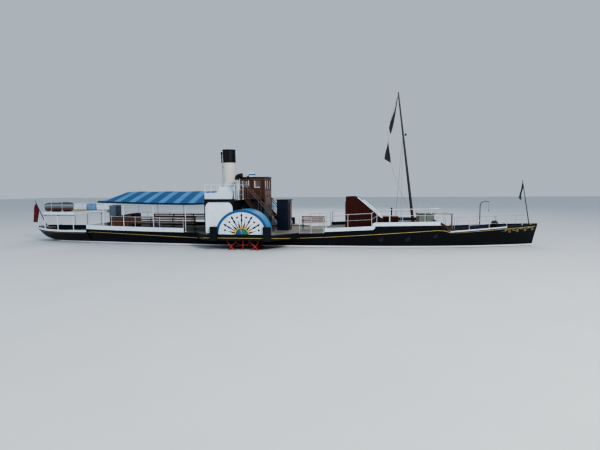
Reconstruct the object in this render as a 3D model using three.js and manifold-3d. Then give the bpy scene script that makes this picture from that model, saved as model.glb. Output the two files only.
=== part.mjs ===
// A river paddle steamer, in millimetres. +X is the bow, +Y is port, +Z is up.
// The origin is amidships on the centreline, at the waterline, so Z below zero is under water.
import * as THREE from 'three';
import { mergeVertices } from 'three/addons/utils/BufferGeometryUtils.js';
import Module from 'manifold-3d';

const wasm = await Module();
wasm.setup();

// Driving dimensions
const GAP = 0.3;                 // left between two pieces that touch
const DOOR_PIN = 14.3;           // from a wall to the middle of a door's hinge pin
const SIDES = [['starboard', -1], ['port', 1]];

// Hull sections from stern to stem. Columns: x, half breadth at the top of the side, half breadth
// and height of the turn of the bilge, half breadth of the flat floor, height of the keel,
// fullness (2 is an ellipse, 1 is straight, under 1 is hollow), height of the top of the side.
const HULL = [
  { x: -16620, top: 330, turn: 300, turnZ: 850, floor: 120, keel: 810, full: 1.6, topZ: 930 },
  { x: -16400, top: 760, turn: 600, turnZ: 740, floor: 240, keel: 660, full: 1.5, topZ: 900 },
  { x: -16000, top: 1120, turn: 860, turnZ: 560, floor: 240, keel: 450, full: 1.4, topZ: 860 },
  { x: -15400, top: 1500, turn: 1120, turnZ: 330, floor: 140, keel: 140, full: 1.3, topZ: 830 },
  { x: -14630, top: 1840, turn: 1240, turnZ: 120, floor: 60, keel: -200, full: 1.1, topZ: 800 },
  { x: -14600, top: 1850, turn: 1240, turnZ: 110, floor: 60, keel: -860, full: 0.5, topZ: 800 },
  { x: -13500, top: 2060, turn: 1380, turnZ: 0, floor: 60, keel: -870, full: 0.8, topZ: 780 },
  { x: -11620, top: 2270, turn: 1600, turnZ: 0, floor: 80, keel: -880, full: 1.3, topZ: 790 },
  { x: -11600, top: 2275, turn: 1600, turnZ: 0, floor: 80, keel: -880, full: 1.3, topZ: 1000 },
  { x: -9000, top: 2470, turn: 1900, turnZ: 0, floor: 420, keel: -900, full: 1.9, topZ: 940 },
  { x: -6000, top: 2590, turn: 2200, turnZ: 0, floor: 1050, keel: -900, full: 2.6, topZ: 890 },
  { x: -3500, top: 2650, turn: 2370, turnZ: 0, floor: 1500, keel: -900, full: 3, topZ: 870 },
  { x: 2700, top: 2650, turn: 2420, turnZ: 0, floor: 1600, keel: -900, full: 3, topZ: 870 },
  { x: 4200, top: 2630, turn: 2390, turnZ: 0, floor: 1450, keel: -900, full: 2.8, topZ: 905 },
  { x: 4220, top: 2630, turn: 2390, turnZ: 0, floor: 1450, keel: -900, full: 2.8, topZ: 980 },
  { x: 7130, top: 2520, turn: 2260, turnZ: 0, floor: 950, keel: -900, full: 2.2, topZ: 1120 },
  { x: 7150, top: 2520, turn: 2260, turnZ: 0, floor: 950, keel: -900, full: 2.2, topZ: 1330 },
  { x: 11000, top: 2100, turn: 1800, turnZ: 0, floor: 250, keel: -900, full: 1.5, topZ: 1380 },
  { x: 11250, top: 2055, turn: 1750, turnZ: 0, floor: 220, keel: -900, full: 1.45, topZ: 1180 },
  { x: 11600, top: 1990, turn: 1680, turnZ: 0, floor: 180, keel: -900, full: 1.4, topZ: 950 },
  { x: 13000, top: 1680, turn: 1340, turnZ: 0, floor: 80, keel: -900, full: 1.2, topZ: 1050 },
  { x: 14500, top: 1230, turn: 900, turnZ: 0, floor: 60, keel: -900, full: 1.1, topZ: 1150 },
  { x: 15800, top: 740, turn: 450, turnZ: 0, floor: 60, keel: -880, full: 1, topZ: 1230 },
  { x: 16400, top: 460, turn: 210, turnZ: 0, floor: 55, keel: -700, full: 1, topZ: 1270 },
  { x: 16740, top: 270, turn: 70, turnZ: 120, floor: 55, keel: -60, full: 1, topZ: 1290 },
  { x: 16900, top: 170, turn: 60, turnZ: 800, floor: 55, keel: 640, full: 1, topZ: 1300 },
  { x: 17050, top: 70, turn: 58, turnZ: 1260, floor: 55, keel: 1200, full: 1, topZ: 1310 },
];
const STERN_DECK = 620;          // floor of the stern well
const BOW_DECK = 760;            // floor of the bow well
const PLATFORM_TOP = 2080;       // platform over the stern, which carries the small boat
const POST_R = 30;               // radius of the platform's posts
const RIM = 110;                 // top of the stern's rim above the top of the side
const WALL = 70;                 // thickness of the bulwarks
const STOCK = { x: -14710, r: 60 };  // rudder stock
const MAIN_DECK = 870;           // level deck amidships

// Paddle wheels, their boxes and the sponsons that carry them
const AXLE = { x: -430, z: 920, r: 90 };
const WHEEL_R = 1300;
const FLOATS = 8;
const WHEEL_IN = 2770;           // inner ring of a wheel
const WHEEL_OUT = 4070;          // outer ring of a wheel
const BOX_R = 1460;
const FACE_STRETCH = 1.075;       // the face board of a paddle box is this much wider than its drum
const BOX_SHELL = 40;
const GUARD_OUT = 4260;          // outer face of the guard beam
const GUARD_IN = 4130;
const GUARD_LOW = 580;
const GUARD_TOP = 920;
const HULL_HALF = 2650;

// Deckhouse, bridge, wheelhouse and funnel
const CASING = { x0: -3350, x1: 190, half: 1250, top: 2850, wall: 50 };
const BRIDGE_TOP = 2930;
const WING = { x0: -2720, x1: -850, half: 4080 };
const HOUSE = { x0: -1430, x1: 190, half: 950, low: 2350, top: 4300, wall: 40 };
const FUNNEL = { x: -2400, base: 3750, top: 6200, r: 425, lean: -60 };

// Awning over the aft deck
// bow: 1 is a straight tent, 2 a parabola
const AWNING = { half: 2500, eave: 2700, rise: 750, cloth: 30, bow: 1.15 };
const AWNING_POSTS = [-10350, -8860, -6800, -4640, -3250];
// Columns: x, share of the full rise at the ridge, height that the eave is lifted by
const AWNING_ARCH = [
  { x: -10560, lift: 0.25, eave: 150 },
  { x: -10380, lift: 0.5, eave: 140 },
  { x: -10320, lift: 0.5, eave: 140 },
  { x: -10180, lift: 0.77, eave: 130 },
  { x: -9900, lift: 0.95, eave: 120 },
  { x: -9500, lift: 1, eave: 110 },
  { x: -8890, lift: 1, eave: 90 },
  { x: -8830, lift: 1, eave: 90 },
  { x: -6830, lift: 1, eave: 30 },
  { x: -6770, lift: 1, eave: 30 },
  { x: -4700, lift: 1, eave: 0 },
  { x: -4200, lift: 1, eave: 0 },
  { x: -3280, lift: 1, eave: 30 },
  { x: -3220, lift: 1, eave: 30 },
  { x: -3170, lift: 1, eave: 50 },
];

// Stations of the posts of the rails along the deck edge
const AFT_RAIL = [-11400, -9700, -8000, -6300, -4700];
const AFT_GATE = -4620;          // fore end of the aft bulwark, where passengers step aboard
const MID_RAIL = [2700, 3400, 4150, 4300];
const FORE_RAIL = [4350, 5600, 7000, 7300, 8800, 10100, 10900];
const BOW_RAIL = [12700, 13900, 15000, 16000, 16600];

// Flagstaffs: foot and head of each, and its radius at both
const ENSIGN_STAFF = { foot: [-16312, 0, 985], head: [-17160, 0, 2820], r0: 34, r1: 22 };
const JACKSTAFF = { foot: [16600, 0, 1330], head: [16140, 0, 4020], r0: 32, r1: 20 };

// Colours
const BLACK = 0x14161a;
const WHITE = 0xe8ebee;
const CREAM = 0xe6e2d4;
const PALE_BLUE = 0x8db8d6;
const NAVY = 0x18223c;
const VARNISH = 0x7a3a1c;
const DARK_WOOD = 0x4a2a1c;
const RED = 0xb02020;
const STEEL = 0x55595e;
const GREY = 0xa8b0b6;
const GREY_BLUE = 0x6d7b88;
const TEAL = 0x2c6478;

const ship = new THREE.Group();

function add(name, geometry, color, roughness = 0.5, metalness = 0) {
  const material = new THREE.MeshStandardMaterial({ color, roughness, metalness });
  const mesh = new THREE.Mesh(geometry, material);
  mesh.name = name;
  ship.add(mesh);
  return mesh;
}

// Solid of a closed geometry, with its vertices merged on position alone.
function solid(geometry) {
  const bare = geometry.clone();
  bare.deleteAttribute('normal');
  bare.deleteAttribute('uv');
  const merged = mergeVertices(bare, 1e-3);
  return new wasm.Manifold(new wasm.Mesh({
    numProp: 3,
    vertProperties: new Float32Array(merged.attributes.position.array),
    triVerts: new Uint32Array(merged.index.array),
  }));
}

function geometryOf(manifold) {
  const mesh = manifold.getMesh();
  const geometry = new THREE.BufferGeometry();
  geometry.setAttribute('position', new THREE.BufferAttribute(mesh.vertProperties, 3));
  geometry.setIndex(new THREE.BufferAttribute(mesh.triVerts, 1));
  geometry.computeVertexNormals();
  return geometry;
}

function join(...pieces) {
  return geometryOf(pieces.map(solid).reduce((whole, piece) => whole.add(piece)));
}

function cut(body, ...tools) {
  return geometryOf(tools.map(solid).reduce((rest, tool) => rest.subtract(tool), solid(body)));
}

function box(x0, x1, y0, y1, z0, z1) {
  const geometry = new THREE.BoxGeometry(x1 - x0, Math.abs(y1 - y0), z1 - z0);
  return geometry.translate((x0 + x1) / 2, (y0 + y1) / 2, (z0 + z1) / 2);
}

// Round bar from a to b; r2 is its radius at b.
function bar(a, b, r, sides = 6, r2 = r) {
  const from = new THREE.Vector3(...a);
  const to = new THREE.Vector3(...b);
  const geometry = new THREE.CylinderGeometry(r2, r, from.distanceTo(to), sides);
  const turn = new THREE.Quaternion().setFromUnitVectors(
    new THREE.Vector3(0, 1, 0),
    to.clone().sub(from).normalize(),
  );
  geometry.applyQuaternion(turn);
  const middle = from.add(to).multiplyScalar(0.5);
  return geometry.translate(middle.x, middle.y, middle.z);
}

// Disc or ring segment lying across the ship, its axis along Y.
function drum(x, z, r, y0, y1, sides = 48) {
  return bar([x, y0, z], [x, y1, z], r, sides);
}

// Outline in the XZ plane, extruded from y0 to y1.
function slab(outline, y0, y1) {
  const shape = new THREE.Shape(outline.map(([x, z]) => new THREE.Vector2(x, z)));
  const geometry = new THREE.ExtrudeGeometry(shape, { depth: y1 - y0, bevelEnabled: false });
  geometry.rotateX(Math.PI / 2);
  return geometry.translate(0, y1, 0);
}

// Outline in the XY plane, extruded from z0 to z1.
function plate(outline, z0, z1) {
  const shape = new THREE.Shape(outline.map(([x, y]) => new THREE.Vector2(x, y)));
  const geometry = new THREE.ExtrudeGeometry(shape, { depth: z1 - z0, bevelEnabled: false });
  return geometry.translate(0, 0, z0);
}

// Skin through rings of equal length, closed by a fan at each end, faces turned outwards.
function loft(rings) {
  const count = rings[0].length;
  const index = [];
  for (let r = 0; r + 1 < rings.length; r += 1) {
    for (let k = 0; k < count; k += 1) {
      const a = r * count + k;
      const b = r * count + (k + 1) % count;
      index.push(a, b, a + count, b, b + count, a + count);
    }
  }
  const last = (rings.length - 1) * count;
  for (let k = 1; k + 1 < count; k += 1) {
    index.push(0, k + 1, k, last, last + k, last + k + 1);
  }
  const geometry = new THREE.BufferGeometry();
  const positions = new Float32Array(rings.flat(2));
  geometry.setAttribute('position', new THREE.BufferAttribute(positions, 3));
  geometry.setIndex(volume(positions, index) < 0 ? index.reverse() : index);
  geometry.computeVertexNormals();
  return geometry;
}

function volume(positions, index) {
  const corner = (i) => new THREE.Vector3().fromArray(positions, 3 * i);
  let sum = 0;
  for (let t = 0; t < index.length; t += 3) {
    const a = corner(index[t]);
    sum += a.dot(corner(index[t + 1]).cross(corner(index[t + 2])));
  }
  return sum / 6;
}

// Value of a hull column at x, straight between the sections.
function hullAt(column, x) {
  const next = Math.max(1, HULL.findIndex((s) => s.x >= x));
  const a = HULL[next - 1];
  const b = HULL[next];
  return a[column] + (b[column] - a[column]) * (x - a.x) / (b.x - a.x);
}

// Height to stand a foot on: the sloping deck's highest point within reach of x, and the gap.
function footing(x, reach = 30) {
  return Math.max(hullAt('topZ', x - reach), hullAt('topZ', x + reach)) + GAP;
}

// Body that stands on the sloping deck, cut off just above it.
function onDeck(body) {
  return cut(body, loft(HULL.map(hullRing)).translate(0, 0, GAP));
}

// Half a section from the keel to the top of the side: floor, bilge curve, then straight topside.
function halfSection(s) {
  const points = [[s.floor, s.keel]];
  const steps = 5;
  for (let k = 1; k <= steps; k += 1) {
    const angle = Math.PI / 2 * (1 - k / steps);
    const out = Math.cos(angle) ** (2 / s.full);
    const down = Math.sin(angle) ** (2 / s.full);
    points.push([s.floor + (s.turn - s.floor) * out, s.turnZ + (s.keel - s.turnZ) * down]);
  }
  points.push([s.top, s.topZ]);
  return points;
}

function hullRing(s) {
  const half = halfSection(s);
  const port = half.map(([y, z]) => [s.x, y, z]);
  const starboard = half.map(([y, z]) => [s.x, -y, z]).reverse();
  return [...port, ...starboard];
}

// Half breadth inside the flaring side of a well at height z.
function insideAt(x, z) {
  const low = hullAt('turnZ', x);
  const share = (z - low) / (hullAt('topZ', x) - low);
  const outside = hullAt('turn', x) + (hullAt('top', x) - hullAt('turn', x)) * share;
  return Math.max(60, outside - WALL);
}

// Space inside the bulwarks from x0 to x1, from the floor up.
function well(x0, x1, floor, top) {
  const stations = [x0, ...HULL.map((s) => s.x).filter((x) => x > x0 && x < x1), x1];
  return loft(stations.map((x) => {
    const rail = hullAt('topZ', x);
    const half = insideAt(x, rail);
    const port = [[x, insideAt(x, floor), floor], [x, half, rail], [x, half, top]];
    return [...port, ...port.map(([, y, z]) => [x, -y, z]).reverse()];
  }));
}

// Strip that stands on the edge of the hull along both sides from x0 to x1.
function sideStrip(side, x0, x1, low, high, proud, inner) {
  const stations = [x0, ...HULL.map((s) => s.x).filter((x) => x > x0 && x < x1), x1];
  return loft(stations.map((x) => {
    const edge = hullAt('top', x);
    const out = side * (edge + proud);
    const back = side * Math.max(edge - inner, 12);
    return [[x, out, low(x)], [x, out, high(x)], [x, back, high(x)], [x, back, low(x)]];
  }));
}

function hull() {
  const body = loft(HULL.map(hullRing));
  const engineWell = box(-3200, 60, -1000, 1000, -700, 1100);
  const shaftTrench = box(AXLE.x - 130, AXLE.x + 130, -2700, 2700, 790, 1100);
  const sternWell = well(-16050, -11700, STERN_DECK, 1200);
  const bowWell = well(11300, 16600, BOW_DECK, 1800);
  const trunk = bar([STOCK.x, 0, -500], [STOCK.x, 0, 1000], STOCK.r + 1, 24);
  return cut(body, engineWell, shaftTrench, sternWell, bowWell, trunk);
}

// White rim of the stern well, closed round the stern.
function sternRim() {
  const low = (x) => hullAt('topZ', x) + GAP;
  const high = (x) => hullAt('topZ', x) + RIM;
  const strips = SIDES.map(([, side]) => sideStrip(side, -16610, -11640, low, high, 25, WALL));
  const end = box(-16630, -16530, -330, 330, 930 + GAP, 1040);
  const step = box(-16600, -16200, -90, 90, 950, 1000);
  const staff = bar(ENSIGN_STAFF.foot, ENSIGN_STAFF.head, ENSIGN_STAFF.r0, 6, ENSIGN_STAFF.r1);
  return join(...strips, end, step, staff);
}

// White band above the deck edge on both sides, joined by a breast across the break of the deck.
function aftBulwark() {
  const low = (x) => hullAt('topZ', x) + GAP;
  const high = (x) => hullAt('topZ', x) + 260;
  const strips = SIDES.map(([, side]) => sideStrip(side, -11590, AFT_GATE, low, high, 20, 60));
  const breast = box(-11590, -11530, -2260, 2260, 1000 + GAP, 1258);
  const rails = SIDES.map(([, side]) => edgeRail(side, AFT_RAIL, 30, 255, 650, [650]));
  return join(...strips, breast, ...rails);
}

function foreBulwark() {
  const low = (x) => hullAt('topZ', x) + GAP;
  const high = (x) => hullAt('topZ', x) + 210;
  const pieces = SIDES.flatMap(([, side]) => [
    sideStrip(side, 4225, 7125, low, high, 20, 60),
    sideStrip(side, 7155, 10990, low, high, 20, 60),
    box(7050, 7120, side * 2462, side * 2530, 1200, 1500),
    box(7050, 7220, side * 2462, side * 2530, 1340, 1500),
  ]);
  const rails = SIDES.flatMap(([, side]) => [
    edgeRail(side, MID_RAIL, 35, 2, 920, [460, 920]),
    edgeRail(side, FORE_RAIL, 30, 205, 780, [780]),
  ]);
  return join(...pieces, ...rails, box(10930, 10990, -2095, 2095, 1380 + GAP, 1585));
}

// Cap of the bow bulwark, from the break of the raised deck to the stem.
function bowCap() {
  const low = (x) => hullAt('topZ', x) + GAP;
  const high = (x) => hullAt('topZ', x) + 60;
  const strips = SIDES.map(([, side]) => sideStrip(side, 11600, 17050, low, high, 25, WALL + 10));
  const rails = SIDES.map(([, side]) => edgeRail(side, BOW_RAIL, 35, 55, 520, [520], 16));
  const jackstaff = bar(JACKSTAFF.foot, JACKSTAFF.head, JACKSTAFF.r0, 6, JACKSTAFF.r1);
  const step = box(16500, 16900, -290, 290, 1300, 1340);
  return join(...strips, box(16850, 17075, -70, 70, 1310, 1370), ...rails, step, jackstaff);
}

// Blade under the counter, with its stock up through the trunk to a tiller on the stern deck.
function rudder() {
  const outline = [[-15650, -820], [-14680, -860], [-14680, -240], [-15100, -95], [-15650, 80]];
  const stock = bar([STOCK.x, 0, -800], [STOCK.x, 0, 800], STOCK.r, 24);
  const tiller = box(STOCK.x - 620, STOCK.x, -35, 35, 690, 750);
  return join(slab(outline, -45, 45), stock, tiller);
}

// Frame round the wheel: two tapered decks and a guard beam with the outboard bearing in it.
function sponson(side) {
  const y = (v) => side * v;
  const inner = HULL_HALF + GAP;
  const outline = [
    [-3900, y(inner)], [-2700, y(GUARD_OUT)], [1350, y(GUARD_OUT)], [2650, y(inner)],
  ];
  const deck = plate(side > 0 ? outline.reverse() : outline, GUARD_LOW, GUARD_TOP);
  const space = box(AXLE.x - 1440, AXLE.x + 1440, y(2600), y(GUARD_IN), 300, 1200);
  const bearing = drum(AXLE.x, AXLE.z, AXLE.r + 1, y(4050), y(4200), 24);
  const fenders = [[-2320, -1910], [840, 1300]].map(([x0, x1]) => (
    box(x0, x1, y(GUARD_OUT - 40), y(4400), 560, 1400)
  ));
  const clear = stretched(drum(AXLE.x, AXLE.z, BOX_R + 20, y(3900), y(GUARD_OUT + 5), 48));
  const above = box(-4000, 4000, y(2000), y(GUARD_OUT), GUARD_TOP, 2000);
  const raised = cut(join(deck, ...fenders), above);
  return cut(raised, space, bearing, cut(clear, box(-4000, 4000, y(3800), y(4500), 0, GUARD_TOP)));
}

// Drum about the axle made wider fore and aft.
function stretched(geometry) {
  return geometry.translate(-AXLE.x, 0, 0).scale(FACE_STRETCH, 1, 1).translate(AXLE.x, 0, 0);
}

// Half drum over the wheel, open below, with a wider face board outboard and a notch for the axle inboard.
function paddleBox(side) {
  const y = (v) => side * v;
  const face = GUARD_OUT - 10;
  const outer = drum(AXLE.x, AXLE.z, BOX_R, y(HULL_HALF + 2), y(face), 48);
  const board = stretched(drum(AXLE.x, AXLE.z, BOX_R, y(face - 20), y(face), 48));
  const inside = drum(AXLE.x, AXLE.z, BOX_R - BOX_SHELL, y(HULL_HALF + 42), y(face - 40), 48);
  const lower = box(-4000, 4000, y(2000), y(5000), -2000, GUARD_TOP + GAP);
  const notch = drum(AXLE.x, AXLE.z, AXLE.r + 30, y(2500), y(2800), 24);
  return join(cut(join(outer, board), inside, lower, notch), fan(side));
}

// Sunburst on the face: a half disc with five long rays and six short ones.
function fan(side) {
  const y0 = side * (GUARD_OUT - 25);
  const y1 = side * (GUARD_OUT + 15);
  const hub = drum(AXLE.x, AXLE.z, 400, y0, y1, 32);
  const rays = [];
  for (let k = 1; k < 12; k += 1) {
    const angle = Math.PI * k / 12;
    const long = k % 2 === 0;
    const reach = long ? 1190 : 760;
    const half = long ? 34 : 24;
    const ray = box(380, reach, y0, y1, -half, half);
    ray.rotateY(-angle);
    rays.push(ray.translate(AXLE.x, 0, AXLE.z));
  }
  const lower = box(-3000, 3000, side * 4000, side * 5000, -1000, GUARD_TOP + 2);
  return cut(join(hub, ...rays), lower);
}

// Two rings joined by the floats, with arms to a hub on the shaft.
function paddleWheel(side) {
  const y = (v) => side * v;
  const pieces = [drum(AXLE.x, AXLE.z, 210, y(WHEEL_IN - 10), y(WHEEL_OUT + 10), FLOATS)];
  for (const place of [WHEEL_IN, WHEEL_OUT - 40]) {
    const outer = drum(AXLE.x, AXLE.z, 1060, y(place), y(place + 40), FLOATS);
    const inner = drum(AXLE.x, AXLE.z, 980, y(place - 20), y(place + 60), FLOATS);
    pieces.push(cut(outer, inner));
    for (let k = 0; k < FLOATS; k += 1) {
      const arm = box(150, 1010, y(place), y(place + 40), -35, 35);
      arm.rotateY(2 * Math.PI * k / FLOATS);
      pieces.push(arm.translate(AXLE.x, 0, AXLE.z));
    }
  }
  for (let k = 0; k < FLOATS; k += 1) {
    const paddle = box(940, WHEEL_R - 8, y(WHEEL_IN - 5), y(WHEEL_OUT + 5), -20, 20);
    paddle.rotateY(2 * Math.PI * k / FLOATS);
    pieces.push(paddle.translate(AXLE.x, 0, AXLE.z));
  }
  const bore = drum(AXLE.x, AXLE.z, AXLE.r + 1, y(2500), y(4300), 24);
  return cut(join(...pieces), bore);
}

function shaft() {
  return drum(AXLE.x, AXLE.z, AXLE.r, -4190, 4190, 24);
}

// Engine as one block, with two pedestals that hold the shaft in their bearings.
function engine() {
  const block = box(-1000, 40, -650, 650, -700 + GAP, 700);
  const pedestals = [-560, 560].map((y) => box(AXLE.x - 150, AXLE.x + 150, y - 80, y + 80, 650, 1080));
  const bearing = drum(AXLE.x, AXLE.z, AXLE.r + 1, -700, 700, 24);
  return cut(join(block, ...pedestals), bearing);
}

function boiler() {
  const barrel = bar([-3150, 0, 150], [-1150, 0, 150], 830, 24);
  const seat = box(-3000, -1300, -600, 600, -700 + GAP, -300);
  return join(barrel, seat);
}

// Deckhouse over the engine and boiler, open below, with covers over the shaft on both side decks.
function casing() {
  const { x0, x1, half, top, wall } = CASING;
  const outer = box(x0, x1, -half, half, MAIN_DECK + GAP, top);
  const covers = box(AXLE.x - 230, AXLE.x + 230, -2645, 2645, MAIN_DECK + GAP, 1130);
  const inside = box(x0 + wall, x1 - wall, -half + wall, half - wall, 800, HOUSE.low - 60);
  const upper = box(x0 + wall, HOUSE.x0 - 60, -half + wall, half - wall, 800, top - wall);
  const tunnel = box(AXLE.x - 180, AXLE.x + 180, -2700, 2700, 800, 1080);
  const pocket = box(HOUSE.x0 - GAP, x1 + 10, -HOUSE.half - GAP, HOUSE.half + GAP, HOUSE.low - GAP, 3000);
  return cut(join(outer, covers), inside, upper, tunnel, pocket);
}

// Small white house on the sponson behind the paddle box, with a doorway in its aft wall.
const CABIN = { x0: -2620, x1: -970, y0: 2760, y1: 4200, top: 2850, wall: 40 };
const CABIN_DOOR = { y0: 3180, y1: 3720, z0: 1000, z1: 2620 };

// Leaf that lies on a wall facing along X, with a round hinge pin down one edge.
// x is the wall's face, out is +1 or -1 for the way it faces, and the pin stands at y = pin.
function hingedDoor({ x, out, pin, far, z0, z1 }) {
  const leaf = box(...[x + out * 6, x + out * 40].sort((a, b) => a - b), pin, far, z0, z1);
  return join(leaf, bar([x + out * DOOR_PIN, pin, z0], [x + out * DOOR_PIN, pin, z1], 14, 16));
}

function sponsonHouse(side) {
  const y = (v) => side * v;
  const { x0, x1, y0, y1, top, wall } = CABIN;
  const outer = box(x0, x1, y(y0), y(y1), GUARD_TOP + GAP, top);
  const inside = box(x0 + wall, x1 - wall, y(y0 + wall), y(y1 - wall), GUARD_TOP + 60, top - wall);
  const arch = drum(AXLE.x, AXLE.z, BOX_R + 4, y(2000), y(5000), 48);
  const wallArch = drum(AXLE.x, AXLE.z, BOX_R + 44, y(2000), y(5000), 48);
  const room = cut(inside, wallArch);
  const doorway = box(x0 - 50, x0 + 80, y(CABIN_DOOR.y0), y(CABIN_DOOR.y1), CABIN_DOOR.z0, CABIN_DOOR.z1);
  return cut(outer, arch, room, doorway);
}

function bridgeDeck() {
  const centre = box(-3600, 250, -1400, 1400, 2850 + GAP, BRIDGE_TOP);
  const wings = box(WING.x0, WING.x1, -WING.half, WING.half, 2850 + GAP, BRIDGE_TOP);
  const hole = box(HOUSE.x0 - GAP, 300, -HOUSE.half - GAP, HOUSE.half + GAP, 2800, 3000);
  return join(cut(join(centre, wings), hole), ...SIDES.map(([, side]) => cowl(side)));
}

// Sloped casing round the foot of the funnel.
function fiddley() {
  const low = [[-3100, -1150], [-1960, -1150], [-1960, 1150], [-3100, 1150]];
  const high = [[-3000, -470], [-1960, -470], [-1960, 470], [-3000, 470]];
  return loft([
    low.map(([x, y]) => [x, y, BRIDGE_TOP + GAP]),
    high.map(([x, y]) => [x, y, FUNNEL.base]),
  ]);
}

function funnel() {
  const ring = (z, r) => {
    const shift = FUNNEL.lean * (z - FUNNEL.base) / (FUNNEL.top - FUNNEL.base);
    const points = [];
    for (let k = 0; k < 24; k += 1) {
      const angle = 2 * Math.PI * k / 24;
      points.push([FUNNEL.x + shift + r * Math.cos(angle), r * Math.sin(angle), z]);
    }
    return points;
  };
  const z0 = FUNNEL.base + GAP;
  const outer = loft([
    ring(z0, FUNNEL.r + 25), ring(z0 + 60, FUNNEL.r + 25), ring(z0 + 70, FUNNEL.r),
    ring(FUNNEL.top - 70, FUNNEL.r), ring(FUNNEL.top - 60, FUNNEL.r + 20), ring(FUNNEL.top, FUNNEL.r + 20),
  ]);
  const shell = cut(outer, loft([ring(z0 + 300, FUNNEL.r - 30), ring(FUNNEL.top + 50, FUNNEL.r - 30)]));
  const x = FUNNEL.x - FUNNEL.r - 110;
  const pipe = bar([x, 0, FUNNEL.base + 3], [x - 55, 0, 6050], 45, 8);
  const clips = [4300, 5700].map((z) => box(x - 30, FUNNEL.x - FUNNEL.r - 10, -20, 20, z, z + 40));
  return join(shell, pipe, ...clips);
}

function cowl(side) {
  const x = -1560;
  const y = side * 1310;
  const trunk = bar([x, y, BRIDGE_TOP - 5], [x, y, 4400], 160, 12);
  const head = bar([x - 160, y, 4400], [x + 340, y, 4420], 150, 12, 170);
  return join(trunk, head);
}

// Wheelhouse: floor and four walls with their windows cut, and a track for each sliding door.
const SIDE_DOOR = { x0: -600, x1: 0, z0: 2990, z1: 4130 };
const HELM_Z = 3230;             // height of the middle of the steering wheel

function wheelhouse() {
  const { x0, x1, half, low, top, wall } = HOUSE;
  const outer = box(x0, x1, -half, half, low, top);
  const inside = box(x0 + wall, x1 - wall, -half + wall, half - wall, low + wall, top + 50);
  const sideWindows = box(-1350, -850, -1100, 1100, 3700, 4120);
  const sideDoors = box(SIDE_DOOR.x0, SIDE_DOOR.x1, -1100, 1100, SIDE_DOOR.z0, SIDE_DOOR.z1);
  const frontWindows = [-860, -270, 320].map((y) => box(100, 300, y, y + 540, 3560, 4120));
  const aftWindows = [-760, 240].map((y) => box(x0 - 50, x0 + 90, y, y + 520, 3640, 4120));
  const tracks = SIDES.map(([, side]) => (
    box(-1280, 60, side * (half - 10), side * (half + 45), BRIDGE_TOP + 5, BRIDGE_TOP + 30)
  ));
  const shell = cut(outer, inside, sideWindows, sideDoors, ...frontWindows, ...aftWindows);
  return join(shell, ...tracks, helmPedestal());
}

// Roof with the lamp box on it.
function wheelhouseRoof() {
  const roof = box(-1600, 340, -1080, 1080, HOUSE.top + GAP, HOUSE.top + 80);
  return join(roof, box(-1050, -690, -180, 180, HOUSE.top + 79, 4720));
}

function slidingDoor(side) {
  const y0 = side * (HOUSE.half + 6);
  const y1 = side * (HOUSE.half + 38);
  const leaf = box(-640, 40, y0, y1, BRIDGE_TOP + 30 + GAP, 4170);
  return cut(leaf, box(-490, -110, side * 800, side * 1200, 3660, 4100));
}

function helmPedestal() {
  const post = box(20, 130, -90, 90, HOUSE.low + HOUSE.wall - 5, HELM_Z + 100);
  return cut(post, bar([-50, 0, HELM_Z], [90, 0, HELM_Z], 26, 16));
}

function helmWheel() {
  const disc = bar([-70, 0, HELM_Z], [-25, 0, HELM_Z], 330, 12);
  const rim = cut(disc, bar([-100, 0, HELM_Z], [0, 0, HELM_Z], 270, 12));
  const hub = bar([-80, 0, HELM_Z], [-10, 0, HELM_Z], 60, 8);
  const pieces = [rim, hub, bar([-60, 0, HELM_Z], [85, 0, HELM_Z], 25, 16)];
  for (let k = 0; k < 6; k += 1) {
    const angle = Math.PI * k / 3;
    const tip = [-48, 430 * Math.cos(angle), HELM_Z + 430 * Math.sin(angle)];
    pieces.push(bar([-48, 0, HELM_Z], tip, 15, 4));
  }
  return join(...pieces);
}

// Hood over the forward stairs: tall at its aft end, its roof curving down towards the bow.
const HOOD_HALF = 750;

function foreHood() {
  const deck = (x) => hullAt('topZ', x) + GAP;
  const roof = [[7700, 1790], [7540, 1960], [6290, 2960], [5970, 3080], [5400, 3060]];
  const sill = [5400, 7120].map((x) => [x, deck(x)]);
  const riser = [[7120, 1345], ...[7160, 7700].map((x) => [x, deck(x)])];
  const outline = [...sill, ...riser, ...roof];
  const inner = [
    [5440, 1150], [7080, 1250], [7080, 1400], [7560, 1400], [7560, 1850],
    [6270, 2900], [5960, 3030], [5440, 3010],
  ];
  const doorway = box(5300, 5500, -460, 460, 1140, 2720);
  const room = slab(inner, -HOOD_HALF + 40, HOOD_HALF - 40);
  const shell = cut(slab(outline, -HOOD_HALF, HOOD_HALF), room, doorway);
  const locker = box(7690, 8700, -500, 500, footing(8200, 500) + 2, 1800);
  return join(shell, locker);
}

// Dark blue hatch house in front of the bridge ladders.
const HATCH = { x0: 930, x1: 1670, half: 700, top: 2820 };

function hatchHouse() {
  const body = box(HATCH.x0, HATCH.x1, -HATCH.half, HATCH.half, MAIN_DECK + GAP, HATCH.top);
  const lid = box(880, 1720, -760, 760, HATCH.top - 1, HATCH.top + 60);
  const inside = box(970, 1630, -660, 660, MAIN_DECK + 60, HATCH.top - 50);
  const doorway = box(1600, 1700, -300, 300, MAIN_DECK + 130, 2640);
  return cut(join(body, lid), inside, doorway);
}

// Low companion over the stairs to the aft saloon, with its doors facing forward.
function aftHatch() {
  const deck = (x) => hullAt('topZ', x) + GAP;
  const sill = [-10900, -9300].map((x) => [x, deck(x)]);
  const outline = [...sill, [-9300, 1900], [-9420, 1900], [-10900, 1600]];
  const inner = [[-10860, 1050], [-9340, 1050], [-9340, 1850], [-9440, 1850], [-10860, 1560]];
  return cut(slab(outline, -650, 650), slab(inner, -610, 610), box(-9400, -9200, -380, 380, 1050, 1800));
}

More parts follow.
